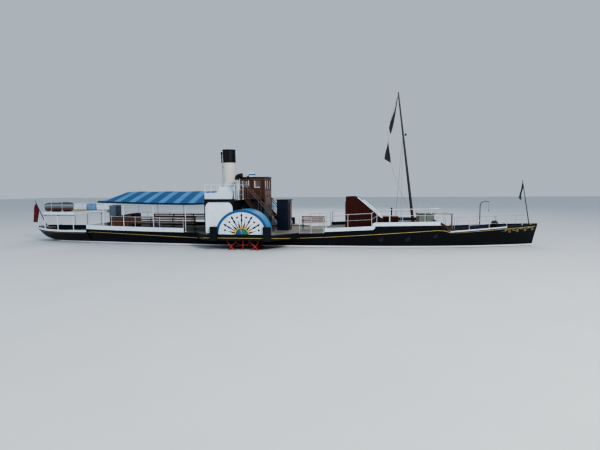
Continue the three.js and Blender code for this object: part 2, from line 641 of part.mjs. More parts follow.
// Value of an awning column at x, straight between its stations.
function awningAt(column, x) {
  const next = Math.max(1, AWNING_ARCH.findIndex((s) => s.x >= x));
  const a = AWNING_ARCH[next - 1];
  const b = AWNING_ARCH[next];
  return a[column] + (b[column] - a[column]) * (x - a.x) / (b.x - a.x);
}

// Height of the top of the cloth at x and y, for the given share of the rise.
function awningZ(y, lift, raised) {
  const arch = 1 - Math.abs(y / AWNING.half) ** AWNING.bow;
  return AWNING.eave + raised + (AWNING.rise * lift - raised) * arch;
}

// Arch from port to starboard, lowered by a thickness.
function awningRing(x, lift, raised, lower, out = 0) {
  const points = [];
  const steps = 10;
  for (let k = 0; k <= steps; k += 1) {
    const y = AWNING.half * (1 - 2 * k / steps);
    points.push([x, y, awningZ(y, lift, raised) - lower]);
  }
  points[0][1] += out;
  points[steps][1] -= out;
  return points;
}

// Shell between two copies of the same arch, its top and its bottom lowered by two thicknesses.
function awningShell(stations, top, bottom) {
  const under = AWNING.eave - 900;
  const end = AWNING.half;
  const upper = loft(stations.map(({ x, lift, eave }) => [
    ...awningRing(x, lift, eave, top), [x, -end, under], [x, end, under],
  ]));
  const lower = loft(stations.map(({ x, lift, eave }, i) => {
    const reach = i === 0 ? -5 : i + 1 === stations.length ? 5 : 0;
    const ring = awningRing(x + reach, lift, eave, bottom, 10);
    return [...ring, [x + reach, -end - 10, under - 50], [x + reach, end + 10, under - 50]];
  }));
  return cut(upper, lower);
}

function awning() {
  return awningShell(AWNING_ARCH, 0, AWNING.cloth);
}

// Posts with an arched rafter over each pair and a ridge pole.
function awningFrame() {
  const pieces = [];
  for (const x of AWNING_POSTS) {
    const lift = Math.min(awningAt('lift', x - 20), awningAt('lift', x + 20));
    const eave = Math.min(awningAt('eave', x - 20), awningAt('eave', x + 20));
    const ends = [{ x: x - 20, lift, eave }, { x: x + 20, lift, eave }];
    pieces.push(awningShell(ends, AWNING.cloth + GAP, AWNING.cloth + 45));
    const y = Math.min(2380, hullAt('top', x) - 105);
    const head = awningZ(y + 28, lift, eave) - AWNING.cloth - 20;
    pieces.push(...SIDES.map(([, side]) => (
      bar([x, side * y, footing(x)], [x, side * y, head], 28, 6)
    )));
  }
  pieces.push(bar([-10350, 0, 3000], [-9500, 0, 3385], 20, 4));
  pieces.push(bar([-9510, 0, 3385], [-3250, 0, 3385], 20, 4));
  return join(...pieces);
}

// Stair with two stringers and treads, from a foot to a head, of the given width.
function ladder(deck, foot, head, y0, y1, steps) {
  const pieces = [y0, y1].map((y) => bar([foot[0], y, foot[1]], [head[0], y, head[1]], 40, 4));
  pieces.push(...[y0, y1].map((y) => (
    box(foot[0] - 60, foot[0] + 60, y - 25, y + 25, deck + GAP, foot[1] + 20)
  )));
  for (const y of [y0, y1]) {
    pieces.push(bar([foot[0], y, foot[1] + 900], [head[0], y, head[1] + 900], 28, 4));
    pieces.push(bar([foot[0], y, foot[1]], [foot[0], y, foot[1] + 900], 25, 4));
    pieces.push(bar([head[0], y, head[1]], [head[0], y, head[1] + 900], 25, 4));
  }
  for (let k = 1; k <= steps; k += 1) {
    const share = k / (steps + 1);
    const x = foot[0] + (head[0] - foot[0]) * share;
    const z = foot[1] + (head[1] - foot[1]) * share;
    pieces.push(box(x - 90, x + 90, Math.min(y0, y1), Math.max(y0, y1), z - 15, z + 15));
  }
  return join(...pieces);
}

// Rail of square section through points that lie along the ship's side, raised by a level.
function rail(points, level, r) {
  return loft(points.map(([x, y, z], i) => {
    const before = points[Math.max(i - 1, 0)];
    const after = points[Math.min(i + 1, points.length - 1)];
    const along = new THREE.Vector2(after[0] - before[0], after[1] - before[1]).setLength(r);
    const low = z + level - r;
    const high = z + level + r;
    return [
      [x - along.y, y + along.x, low], [x - along.y, y + along.x, high],
      [x + along.y, y - along.x, high], [x + along.y, y - along.x, low],
    ];
  }));
}

// Posts at the given points with a rail at each level.
function railing(points, height, levels, r = 20) {
  const posts = points.map(([x, y, z]) => bar([x, y, z], [x, y, z + height], r, 4));
  return join(...posts, ...levels.map((level) => rail(points, level, r * 0.7)));
}

function edgeRail(side, stations, inset, rise, height, levels) {
  const points = stations.map((x) => [x, side * (hullAt('top', x) - inset), hullAt('topZ', x) + rise]);
  return railing(points, height, levels);
}

// Signal halyard from the masthead, blown aft, and back to a cleat at the foot of the mast
const HALYARD = [[8640, 9480], [8030, 6560], [8230, 5150], [9500, 1900]];

function mast() {
  const pole = bar([9650, 0, 1300], [8620, 0, 9580], 95, 12, 45);
  const lamp = box(8950, 9190, -60, 60, 6870, 7010);
  const line = HALYARD.map(([x, z]) => [x, 0, z]);
  const halyard = line.slice(1).map((point, i) => bar(line[i], point, 12, 8));
  const shrouds = SIDES.map(([, side]) => bar([8940, 0, 7050], [8700, side * 2200, 1100], 12, 4));
  return onDeck(join(pole, lamp, ...halyard, ...shrouds));
}

// Outlines of the flags, hanging slack, as x and z
const ENSIGN = [
  [-17060, 2640], [-16841, 2130], [-16960, 1700], [-17080, 1220], [-17420, 1250], [-17330, 1900],
  [-17190, 2500],
];
const JACK = [
  [16165, 3880], [16229, 3500], [16150, 3250], [16100, 2950], [16120, 2780], [15960, 2900],
  [15990, 3100], [16080, 3500], [16120, 3850],
];
const PENNANT = [
  [8600, 9290], [8290, 7800], [8210, 6990], [8110, 7060], [8250, 7950], [8520, 9150],
];
const CONE_FLAG = [[8030, 6560], [8100, 6066], [8230, 5150], [7790, 5400], [7960, 6200]];

// Hanging cloth of even thickness, at y abreast of the centreline.
function flag(outline, y) {
  return slab(outline, y - 12, y + 12);
}

// Cloth whose hoist lies along a leaning staff, cut back to the staff's surface.
function flagOnStaff(outline, staff) {
  const r = GAP / Math.cos(Math.PI / 6);
  return cut(flag(outline, 0), bar(staff.foot, staff.head, staff.r0 + r, 6, staff.r1 + r));
}

// Half breadth and foot of a post: the aftmost pair stands on the rim, the others in the well.
function platformFoot(x) {
  if (x < -15000) {
    return [hullAt('top', x) - WALL / 2, hullAt('topZ', x - POST_R) + RIM + GAP];
  }
  return [Math.min(1600, insideAt(x, STERN_DECK) - POST_R - 5), STERN_DECK + GAP];
}

// Raised platform over the stern that carries the boat, on posts from the rim and the deck.
function sternPlatform() {
  const top = box(-15220, -12900, -1650, 1650, 2020, PLATFORM_TOP);
  const extension = box(-12950, -11650, 200, 1650, 2020, PLATFORM_TOP);
  const pieces = [top, extension];
  for (const [, side] of SIDES) {
    pieces.push(box(-15220, -12900, side * 1650, side * 1690, 1870, PLATFORM_TOP - 5));
    for (const x of [-15170, -14180, -13020]) {
      const [half, foot] = platformFoot(x);
      pieces.push(bar([x, side * half, foot], [x, side * half, 2040], POST_R, 8));
    }
  }
  pieces.push(bar([-11750, 1500, STERN_DECK + GAP], [-11750, 1500, 2040], POST_R, 8));
  return join(...pieces);
}

// Row of lockers along the port side of the platform, on a common base board.
const LOCKERS = {
  y0: 920,
  y1: 1540,
  top: 2560,
  spans: [[-15030, -13760], [-13700, -13010], [-12950, -11740]],
};

function platformLockers() {
  const { y0, y1, top, spans } = LOCKERS;
  const z = PLATFORM_TOP + GAP;
  const base = box(spans[0][0] - 20, spans[2][1] + 20, y0 - 20, y1 + 20, z, z + 40);
  return join(base, ...spans.map(([x0, x1]) => box(x0, x1, y0, y1, z + 20, top)));
}

// Tall locker on the aft deck, between the platform and the aft companion.
function tallLocker() {
  return onDeck(box(-11480, -10930, 200, 850, 900, 2470));
}

// Light rail along one edge of the platform.
const PLATFORM_RAILS = [
  { side: 'starboard', y: -1600, stations: [-15120, -14600, -13800, -12950] },
  { side: 'port', y: 1600, stations: [-15120, -14200, -12950, -11700] },
];

function platformRail({ y, stations }) {
  return railing(stations.map((x) => [x, y, PLATFORM_TOP + GAP]), 850, [450, 850], 16);
}

// Two ventilator posts beside the deck box in front of the hood, on one plate; the tall one has a cap.
const VENTS = {
  y: -900,
  plate: 1400,
  tall: { x: 8240, r: 45, top: 2370, cap: 62 },
  short: { x: 8130, r: 32, top: 2080 },
};

function ventPosts() {
  const { y, plate, tall, short } = VENTS;
  const foot = box(short.x - 90, tall.x + 100, y - 120, y + 120, 1300, plate);
  const posts = [tall, short].map(({ x, r, top }) => bar([x, y, plate - 10], [x, y, top], r, 12));
  const cap = bar([tall.x, y, tall.top - 80], [tall.x, y, tall.top], tall.cap, 12);
  return onDeck(join(foot, ...posts, cap));
}

// Sections of the small boat. Columns: x, half breadth, share of its full depth
const BOAT = [
  [-15500, 430, 0.75], [-15100, 560, 0.95], [-14500, 560, 1], [-13950, 380, 0.95], [-13560, 40, 0.9],
];

// Small boat: pointed bow forward, flat transom aft, open inside.
function dinghy() {
  const ring = (x, half, rise, inset) => {
    const top = PLATFORM_TOP + GAP + 600 * Math.max(rise, 0.7);
    const keel = PLATFORM_TOP + GAP + inset;
    const w = Math.max(half - inset, 15);
    return [[x, w, top + inset], [x, w * 0.8, keel + 180], [x, w * 0.25, keel], [x, -w * 0.25, keel],
      [x, -w * 0.8, keel + 180], [x, -w, top + inset]];
  };
  const outer = loft(BOAT.map(([x, half, rise]) => ring(x, half, rise, 0)));
  const inner = loft(BOAT.map(([x, half, rise], i) => {
    const place = x + (i === 0 ? 40 : 0) - (i === BOAT.length - 1 ? 60 : 0);
    return ring(place, half, rise, 40);
  }));
  return cut(outer, inner).translate(0, -750, 0);
}

// Seat on legs with a board along the middle as its back.
function bench(x0, x1, y, deck) {
  const pieces = [box(x0, x1, y - 225, y + 225, deck + 400, deck + 440)];
  const count = Math.max(2, Math.round((x1 - x0) / 1500) + 1);
  for (let k = 0; k < count; k += 1) {
    const x = x0 + 60 + (x1 - x0 - 180) * k / (count - 1);
    pieces.push(box(x, x + 60, y - 185, y + 185, deck - 100, deck + 410));
  }
  pieces.push(box(x0, x1, y - 20, y + 20, deck + 430, deck + 860));
  return onDeck(join(...pieces));
}

// Glazed box on the raised deck with a plank along its top that runs out past the break.
function foreSkylight() {
  const body = box(9900, 10850, -550, 550, 1200, 1930);
  const plank = box(9850, 12000, -620, -380, 1929, 1990);
  const lid = box(9850, 10900, -600, 600, 1920, 1980);
  return onDeck(join(body, plank, lid));
}

function windlass() {
  const base = box(14300, 15700, -360, 360, BOW_DECK + GAP, BOW_DECK + 90);
  const cheeks = [-250, 250].map((y) => box(14450, 14750, y - 30, y + 30, BOW_DECK + 80, 1500));
  const barrel = bar([14600, -420, 1350], [14600, 420, 1350], 110, 16);
  return join(base, ...cheeks, barrel, bollards(15400, 0, BOW_DECK + 20));
}

function bollards(x, y, deck) {
  const pieces = [box(x - 260, x + 260, y - 80, y + 80, deck + GAP, deck + 40)];
  for (const dx of [-160, 160]) {
    pieces.push(bar([x + dx, y, deck + 30], [x + dx, y, deck + 300], 60, 10));
    pieces.push(bar([x + dx, y, deck + 290], [x + dx, y, deck + 330], 80, 10));
  }
  return join(...pieces);
}

// Rails round one bridge wing, from the head of the ladder to the centre of the aft edge.
function bridgeRail(side) {
  const z = BRIDGE_TOP + GAP;
  const y = (v) => side * v;
  const points = [
    [WING.x1 - 40, y(2250)], [WING.x1 - 40, y(3150)], [WING.x1 - 40, y(4030)],
    [-1800, y(4030)], [WING.x0 + 40, y(4030)], [WING.x0 + 40, y(3000)], [WING.x0 + 40, y(1950)],
    [WING.x0 + 40, y(1350)],
  ];
  return railing(points.map(([x, v]) => [x, v, z]), 900, [450, 900]);
}

// Canvas screen laced to the lower half of the wing rails.
function dodger(side) {
  const z0 = BRIDGE_TOP + 20;
  return box(WING.x0 + 20, -1100, side * (4050 + GAP), side * 4058, z0, BRIDGE_TOP + 430);
}

// Hinged doors. Columns: name, wall face, way it faces, hinge side, far side, bottom and top.
const DOORS = [
  { name: 'sponson_house_door_starboard', x: -2620, out: -1, pin: -3770, far: -3130, z0: 960, z1: 2660 },
  { name: 'sponson_house_door_port', x: -2620, out: -1, pin: 3770, far: 3130, z0: 960, z1: 2660 },
  { name: 'fore_hood_door', x: 5400, out: -1, pin: 500, far: -500, z0: 1100, z1: 2760 },
  { name: 'hatch_door', x: 1670, out: 1, pin: 340, far: -340, z0: 960, z1: 2680 },
  { name: 'aft_hatch_door', x: -9300, out: 1, pin: 420, far: -420, z0: 1000, z1: 1840 },
];

add('hull', hull(), BLACK, 0.35);
add('rudder', rudder(), BLACK, 0.5);
add('stern_rim', sternRim(), WHITE);
add('aft_bulwark', aftBulwark(), WHITE);
add('fore_bulwark', foreBulwark(), WHITE);
add('bow_cap', bowCap(), WHITE);
for (const [name, side] of SIDES) {
  add(`sponson_${name}`, sponson(side), BLACK, 0.5);
  add(`paddle_box_${name}`, paddleBox(side), WHITE);
  add(`paddle_wheel_${name}`, paddleWheel(side), RED, 0.6);
  add(`sponson_house_${name}`, sponsonHouse(side), WHITE);
  add(`wheelhouse_door_${name}`, slidingDoor(side), VARNISH, 0.35);
}
add('paddle_shaft', shaft(), STEEL, 0.4, 0.8);
add('engine', engine(), STEEL, 0.6, 0.5);
add('boiler', boiler(), BLACK, 0.7);
add('engine_casing', casing(), NAVY);
add('bridge_deck', bridgeDeck(), BLACK, 0.7);
add('fiddley', fiddley(), WHITE);
add('funnel', funnel(), CREAM, 0.45);
add('wheelhouse', wheelhouse(), VARNISH, 0.35);
add('wheelhouse_roof', wheelhouseRoof(), BLACK);
add('helm_wheel', helmWheel(), VARNISH, 0.4);
add('fore_hood', foreHood(), VARNISH, 0.4);
add('hatch_house', hatchHouse(), NAVY);
add('aft_hatch', aftHatch(), DARK_WOOD);
add('awning', awning(), PALE_BLUE, 0.9);
add('awning_frame', awningFrame(), WHITE, 0.4);
add('mast', mast(), DARK_WOOD, 0.5);
add('stern_platform', sternPlatform(), WHITE);
add('dinghy', dinghy(), STEEL, 0.7);
add('platform_lockers', platformLockers(), WHITE);
for (const place of PLATFORM_RAILS) {
  add(`platform_rail_${place.side}`, platformRail(place), GREY, 0.4);
}
add('tall_locker', tallLocker(), GREY_BLUE);
add('vent_posts', ventPosts(), BLACK);
add('windlass', windlass(), BLACK, 0.5, 0.4);

for (const door of DOORS) {
  add(door.name, hingedDoor(door), VARNISH, 0.4);
}
for (const [name, side] of SIDES) {
  const inner = side * 1480;
  const outer = side * 2150;
  add(`bridge_rail_${name}`, bridgeRail(side), WHITE, 0.4);
  add(`bridge_dodger_${name}`, dodger(side), WHITE, 0.9);
  const stair = ladder(MAIN_DECK, [900, 960], [-790, 2900], inner, outer, 7);
  add(`bridge_ladder_${name}`, stair, VARNISH, 0.4);
  add(`aft_bench_${name}`, bench(-8900, -4200, side * 1725, 941), DARK_WOOD, 0.6);
}
add('mid_bench', bench(2450, 4000, 0, 900), DARK_WOOD, 0.6);
add('bow_ladder', ladder(BOW_DECK, [12250, 850], [11120, 1440], 260, 900, 3), VARNISH, 0.4);
add('fore_skylight', foreSkylight(), WHITE);
add('ensign', flagOnStaff(ENSIGN, ENSIGN_STAFF), RED, 0.9);
add('jack', flagOnStaff(JACK, JACKSTAFF), TEAL, 0.9);
add('pennant', flag(PENNANT, -24.3), NAVY, 0.9);
add('cone_flag', flag(CONE_FLAG, -24.3), NAVY, 0.9);

export default ship;
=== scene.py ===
"""Looks of a river paddle steamer, in metres: +X is the bow, +Y is port, Z is zero at the waterline."""
import bpy
import bmesh
import math
import numpy as np
from mathutils import Matrix


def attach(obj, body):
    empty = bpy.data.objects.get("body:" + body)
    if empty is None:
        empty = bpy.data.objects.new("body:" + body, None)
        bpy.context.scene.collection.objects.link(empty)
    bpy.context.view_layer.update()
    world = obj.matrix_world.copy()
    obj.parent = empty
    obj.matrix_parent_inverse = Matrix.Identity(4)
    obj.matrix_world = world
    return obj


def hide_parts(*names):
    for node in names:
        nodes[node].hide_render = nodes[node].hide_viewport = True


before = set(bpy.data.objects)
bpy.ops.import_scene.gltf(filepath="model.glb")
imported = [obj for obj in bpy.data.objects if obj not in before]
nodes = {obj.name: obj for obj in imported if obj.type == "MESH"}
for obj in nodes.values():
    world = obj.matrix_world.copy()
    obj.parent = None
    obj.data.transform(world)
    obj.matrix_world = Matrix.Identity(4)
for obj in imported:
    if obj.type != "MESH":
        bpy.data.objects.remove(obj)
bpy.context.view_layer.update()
SIDES = (("starboard", -1), ("port", 1))

# Camera: place, turn to port, tilt down and roll in degrees, lens in millimetres on a 36 mm frame
EYE = (6.58, -28.38, 3.55)
YAW, PITCH, ROLL = 8.5, 4.75, 0.32
LENS = 25.98
FAR_CLIP = 500


def axes_matrix(right, up, back, place):
    """Matrix whose columns are three axes and a place."""
    rows = np.column_stack([right, up, back, place])
    return Matrix([*rows.tolist(), (0, 0, 0, 1)])


def make_camera():
    """Camera at EYE whose axes are built from the three angles."""
    yaw, pitch, roll = (math.radians(a) for a in (YAW, PITCH, ROLL))
    forward = np.array([-math.sin(yaw) * math.cos(pitch), math.cos(yaw) * math.cos(pitch), -math.sin(pitch)])
    level = np.array([math.cos(yaw), math.sin(yaw), 0])
    upright = np.cross(level, forward)
    right = level * math.cos(roll) - upright * math.sin(roll)
    up = upright * math.cos(roll) + level * math.sin(roll)
    data = bpy.data.cameras.new("camera")
    data.lens = LENS
    data.clip_end = FAR_CLIP
    camera = bpy.data.objects.new("camera", data)
    camera.matrix_world = axes_matrix(right, up, -forward, EYE)
    bpy.context.scene.collection.objects.link(camera)
    bpy.context.scene.camera = camera


make_camera()


# Mesh parts: each is (points, faces, material index of each face)

def grid(rows, material=0, wrap=True, caps=True, ring=False):
    """Skin p(i, j) = rows[i][j], quads between neighbours; wrap joins the last column to the first, and ring
    joins the last row to the first. material is one index, or one for each column."""
    rows = np.asarray(rows, float)
    n, m = rows.shape[:2]
    index = np.arange(n * m).reshape(n, m)
    if ring:
        index = np.concatenate([index, index[:1]])
    right = np.roll(index, -1, 1) if wrap else index[:, 1:]
    left = index if wrap else index[:, :-1]
    quads = np.stack([left[:-1], right[:-1], right[1:], left[1:]], -1).reshape(-1, 4).tolist()
    which = np.tile(material, len(index) - 1).tolist() if np.ndim(material) else [material] * len(quads)
    if caps and not ring:
        quads += [index[0, ::-1].tolist(), index[-1].tolist()]
        which += [which[0]] * 2
    return rows.reshape(-1, 3), quads, which


def tube(path, radius, material=0, sides=10):
    """Round bar along a path, p(i, a) = path[i] + r[i] (cos a u + sin a v),
    with u and v square to the path."""
    path = np.asarray(path, float)
    radius = np.broadcast_to(np.asarray(radius, float), len(path))
    along = np.gradient(path, axis=0)
    along /= np.linalg.norm(along, axis=1)[:, None]
    u = np.cross(along[0], [0, 0, 1.0] if abs(along[0][2]) < 0.9 else [1.0, 0, 0])
    angle = np.linspace(0, 2 * np.pi, sides, endpoint=False)[:, None]
    rows = []
    for p, t, r in zip(path, along, radius):
        u = u - t * (u @ t)
        u /= np.linalg.norm(u)
        rows.append(p + r * (np.cos(angle) * u + np.sin(angle) * np.cross(t, u)))
    return grid(rows, material)


def prism(outline, axis, low, high, material=0):
    """Outline of pairs, extruded along axis 0, 1 or 2 from low to high; the pairs fill the other two axes."""
    outline = np.asarray(outline, float)
    return grid([np.insert(outline, axis, level, axis=1) for level in (low, high)], material)


def block(x0, x1, y0, y1, z0, z1, material=0):
    """Box between two corners."""
    y0, y1 = sorted((y0, y1))
    return prism([(x0, y0), (x1, y0), (x1, y1), (x0, y1)], 2, z0, z1, material)


ON_AXIS = 1e-4  # radius where a round body closes, so that no face there is without area


def capped(profile):
    """The profile, closed onto the axis at both ends."""
    return [(ON_AXIS, profile[0][1]), *profile, (ON_AXIS, profile[-1][1])]


def lathe(profile, centre, axis=2, material=0, sides=32):
    """Round body: p(i, a) = centre + h[i] along the axis + r[i] (cos a, sin a) across it, where profile
    is (r, h) pairs."""
    angle = np.linspace(0, 2 * np.pi, sides, endpoint=False)
    rows = []
    for r, h in profile:
        ring = np.stack([r * np.cos(angle), r * np.sin(angle)], 1)
        rows.append(np.insert(ring, axis, h, axis=1) + centre)
    looped = profile[0] == profile[-1]
    return grid(rows[:-1] if looped else rows, material, ring=looped)


def ball(centre, r, material=0, sides=12):
    """Sphere as a round body, r cos b by r sin b."""
    profile = [
        (max(r * math.cos(b), ON_AXIS), r * math.sin(b)) for b in np.linspace(-np.pi / 2, np.pi / 2, 8)
    ]
    return lathe(profile, centre, 2, material, sides)


def flange(place, wide, thick, neck, high, material=0, sides=14):
    """Foot of a post: a disc of radius wide and a cone that ends at the neck."""
    return lathe(capped([(wide, 0), (wide, thick), (neck, high)]), place, 2, material, sides)


def ring_bar(centre, axis, radius, r, material=0, steps=32, sides=10):
    """Bar of radius r bent to a ring: at each angle a round the axis, the circle
    centre + (radius + r cos b) out and r sin b along the axis."""
    a = np.linspace(0, 2 * np.pi, steps, endpoint=False)[:, None]
    b = np.linspace(0, 2 * np.pi, sides, endpoint=False)
    out = radius + r * np.cos(b)
    ring = np.stack([out * np.cos(a), out * np.sin(a), np.broadcast_to(r * np.sin(b), (steps, sides))], -1)
    order = {0: [2, 0, 1], 1: [0, 2, 1], 2: [0, 1, 2]}[axis]
    return grid(ring[:, :, order] + centre, material, ring=True)


def piece(name, parts, finishes, body="vessel", stands_for=(), bevel=0.0, smooth=35):
    """One object of all the parts, that rides on a body and may stand for CAD nodes."""
    points, faces, which, count = [], [], [], 0
    for part_points, part_faces, material in parts:
        points.append(part_points)
        faces += [[count + k for k in face] for face in part_faces]
        which += material
        count += len(part_points)
    mesh = bpy.data.meshes.new(name)
    mesh.from_pydata(np.concatenate(points).tolist(), [], faces)
    mesh.polygons.foreach_set("material_index", which)
    shape = bmesh.new()
    shape.from_mesh(mesh)
    bmesh.ops.recalc_face_normals(shape, faces=shape.faces)
    shape.to_mesh(mesh)
    shape.free()
    mesh.shade_smooth()
    mesh.set_sharp_from_angle(angle=math.radians(smooth))
    for finish in finishes:
        mesh.materials.append(finish)
    thing = bpy.data.objects.new(name, mesh)
    bpy.context.scene.collection.objects.link(thing)
    if bevel:
        edges = thing.modifiers.new("edges", "BEVEL")
        edges.width, edges.segments, edges.limit_method = bevel, 2, "ANGLE"
        edges.angle_limit = math.radians(50)
    if stands_for:
        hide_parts(*stands_for)
    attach(thing, body)
    return thing


# Finishes

def linear(code):
    """Linear colour of an sRGB hex code."""
    parts = [int(code[i:i + 2], 16) / 255 for i in (0, 2, 4)]
    return tuple(c / 12.92 if c <= 0.04045 else ((c + 0.055) / 1.055) ** 2.4 for c in parts) + (1,)


class Nodes:
    """Node tree of one material, with the surface shader already in it."""

    def __init__(self, name, **shader):
        """A new material; shader holds fixed values of the surface shader."""
        self.material = bpy.data.materials.new(name)
        self.material.use_nodes = True
        self.tree = self.material.node_tree
        self.shader = self.tree.nodes["Principled BSDF"]
        for key, value in shader.items():
            self.shader.inputs[key.replace("_", " ")].default_value = value
        self.place = self.add("TexCoord").outputs["Object"]

    def add(self, kind, inputs=(), **settings):
        """A node of one kind, with its settings, its inputs linked to sockets or set to values."""
        node = self.tree.nodes.new("ShaderNode" + kind)
        for key, value in settings.items():
            setattr(node, key, value)
        for key, value in dict(inputs).items():
            if isinstance(value, bpy.types.NodeSocket):
                self.tree.links.new(value, node.inputs[key])
            else:
                node.inputs[key].default_value = value
        return node

    def noise(self, scale, stretch=(1, 1, 1), detail=3.0, rough=0.55):
        """Noise with so many grains to the metre, stretched along the object's own axes."""
        spread = self.add("Mapping", {"Vector": self.place, "Scale": stretch}).outputs[0]
        return self.add(
            "TexNoise", {"Vector": spread, "Scale": scale, "Detail": detail, "Roughness": rough},
        ).outputs[0]

    def span(self, value, low, high, to_low=0.0, to_high=1.0):
        """A value carried from one span of numbers to another, and held inside it."""
        return self.add("MapRange", {0: value, 1: low, 2: high, 3: to_low, 4: to_high}).outputs[0]

    def sum(self, kind, *values):
        """One step of arithmetic on sockets and numbers."""
        return self.add("Math", dict(enumerate(values)), operation=kind).outputs[0]

    def mix(self, share, a, b):
        """Colour between a and b by a share from 0 to 1; a and b are sockets, values or hex codes."""
        a, b = (linear(c) if isinstance(c, str) else c for c in (a, b))
        return self.add("Mix", {0: share, 6: a, 7: b}, data_type="RGBA").outputs[2]

    def axes(self):
        """The three object coordinates."""
        return self.add("SeparateXYZ", {0: self.place}).outputs

    def finish(self, color, rough, bump=None, depth=0.001):
        """Joins colour, roughness and a bump of the given depth in metres to the shader."""
        links = self.tree.links
        links.new(color, self.shader.inputs["Base Color"])
        links.new(rough, self.shader.inputs["Roughness"])
        if bump is not None:
            normal = self.add("Bump", {"Height": bump, "Distance": depth, "Strength": 0.6}).outputs[0]
            links.new(normal, self.shader.inputs["Normal"])
        return self.material


def paint(name, main, worn, stain, rough=0.35, streak=0.35, **shader):
    """Brushed enamel: two tones in patches of 0.6 m, run-off streaks 0.17 m wide and brush marks every 4 mm,
    which are coarser than the real 1 mm so that they show."""
    n = Nodes(name, **shader)
    patches = n.span(n.noise(1.7, detail=4), 0.35, 0.7)
    runs = n.span(n.noise(6, (1, 1, 0.12), detail=5), 0.56, 0.78, 0, streak)
    color = n.mix(runs, n.mix(patches, main, worn), stain)
    return n.finish(color, n.span(patches, 0, 1, rough, rough + 0.12), n.noise(260, detail=2), 0.0006)


def wood(name, dark, middle, pale, axis=0, rough=0.35, planks=0.0, across=1, **shader):
    """Grain drawn out along one axis, 35 mm wide, coarser than the real 5 mm so that it shows; planks is
    their width across in metres, with a dark caulked seam of 4 to 8 mm between two."""
    n = Nodes(name, **shader)
    stretch = [9.0, 9.0, 9.0]
    stretch[axis] = 0.55
    grain = n.noise(3.2, stretch, detail=7, rough=0.62)
    broad = n.noise(0.8, stretch, detail=2)
    color = n.mix(n.span(broad, 0.35, 0.7, 0, 0.55), n.mix(n.span(grain, 0.3, 0.72), dark, middle), pale)
    height = grain
    if planks:
        count = n.sum("DIVIDE", n.axes()[across], planks)
        cell = n.sum("FLOOR", count)
        tone = n.add("TexWhiteNoise", {"W": cell}, noise_dimensions="1D").outputs[0]
        color = n.mix(n.span(tone, 0, 1, 0, 0.3), color, pale)
        seam = n.sum("ABSOLUTE", n.sum("SUBTRACT", n.sum("FRACT", count), 0.5))
        seam = n.span(seam, 0.5 - 0.004 / planks, 0.5 - 0.002 / planks)
        color = n.mix(n.sum("MULTIPLY", seam, 0.85), color, "1a1512")
        height = n.sum("SUBTRACT", grain, seam)
    return n.finish(color, n.span(grain, 0, 1, rough, rough + 0.2), height, 0.0015)


def cloth(name, tones, stain, weave=0.004, rough=0.85):
    """Plain weave of crossed threads, drawn 3 or 4 mm apart where the real ones are 1 mm, and rope's strands
    12 mm apart, with two tones in patches of 0.5 m and dirt."""
    n = Nodes(name, Sheen_Weight=0.25)
    x, y, z = n.axes()
    warp = n.sum("SINE", n.sum("MULTIPLY", n.sum("ADD", x, n.sum("MULTIPLY", y, 0.37)), 2 * np.pi / weave))
    weft = n.sum("SINE", n.sum("MULTIPLY", n.sum("ADD", z, n.sum("MULTIPLY", y, 0.71)), 2 * np.pi / weave))
    patches = n.noise(2.1, detail=5)
    color = n.mix(n.span(patches, 0.35, 0.7), tones[0], tones[1])
    color = n.mix(n.span(n.noise(5.5, detail=4), 0.6, 0.85, 0, 0.3), color, stain)
    return n.finish(
        color, n.span(patches, 0, 1, rough - 0.05, rough + 0.08), n.sum("MULTIPLY", warp, weft), 0.0006,
    )


def metal(name, main, dull, rough=0.3, **shader):
    """Metal with handling marks 70 mm wide and duller patches, over a grit of 6 mm drawn coarse to show."""
    n = Nodes(name, Metallic=1.0, **shader)
    marks = n.noise(14, (1, 1, 3), detail=5)
    color = n.mix(n.span(marks, 0.4, 0.75), main, dull)
    return n.finish(color, n.span(marks, 0.3, 0.8, rough, rough + 0.2), n.noise(180, detail=2), 0.0003)


def by_height(name, bands, rough=0.3, streak=0.3, **shader):
    """Paint whose colour changes at given heights, over plates about 3 m long with pitting every 11 mm; bands
    are (lowest z, colour) from the bottom up."""
    n = Nodes(name, **shader)
    z = n.axes()[2]
    wave = n.span(n.noise(0.9, detail=2), 0, 1, -0.004, 0.004)
    color = linear(bands[0][1])
    level = n.sum("ADD", z, wave)
    for low, code in bands[1:]:
        color = n.mix(n.span(level, low - 0.002, low + 0.002), color, code)
    runs = n.span(n.noise(5, (1, 1, 0.1), detail=6), 0.55, 0.8, 0, streak)
    patches = n.noise(1.1, detail=4)
    color = n.mix(runs, color, "3b3a38")
    plates = n.noise(0.35, (1, 1, 1.6), detail=1)
    return n.finish(
        color, n.span(patches, 0.3, 0.8, rough, rough + 0.14),
        n.sum("ADD", plates, n.sum("MULTIPLY", n.noise(90, detail=2), 0.04)), 0.006,
    )


PLANK_WIDTH = 0.11


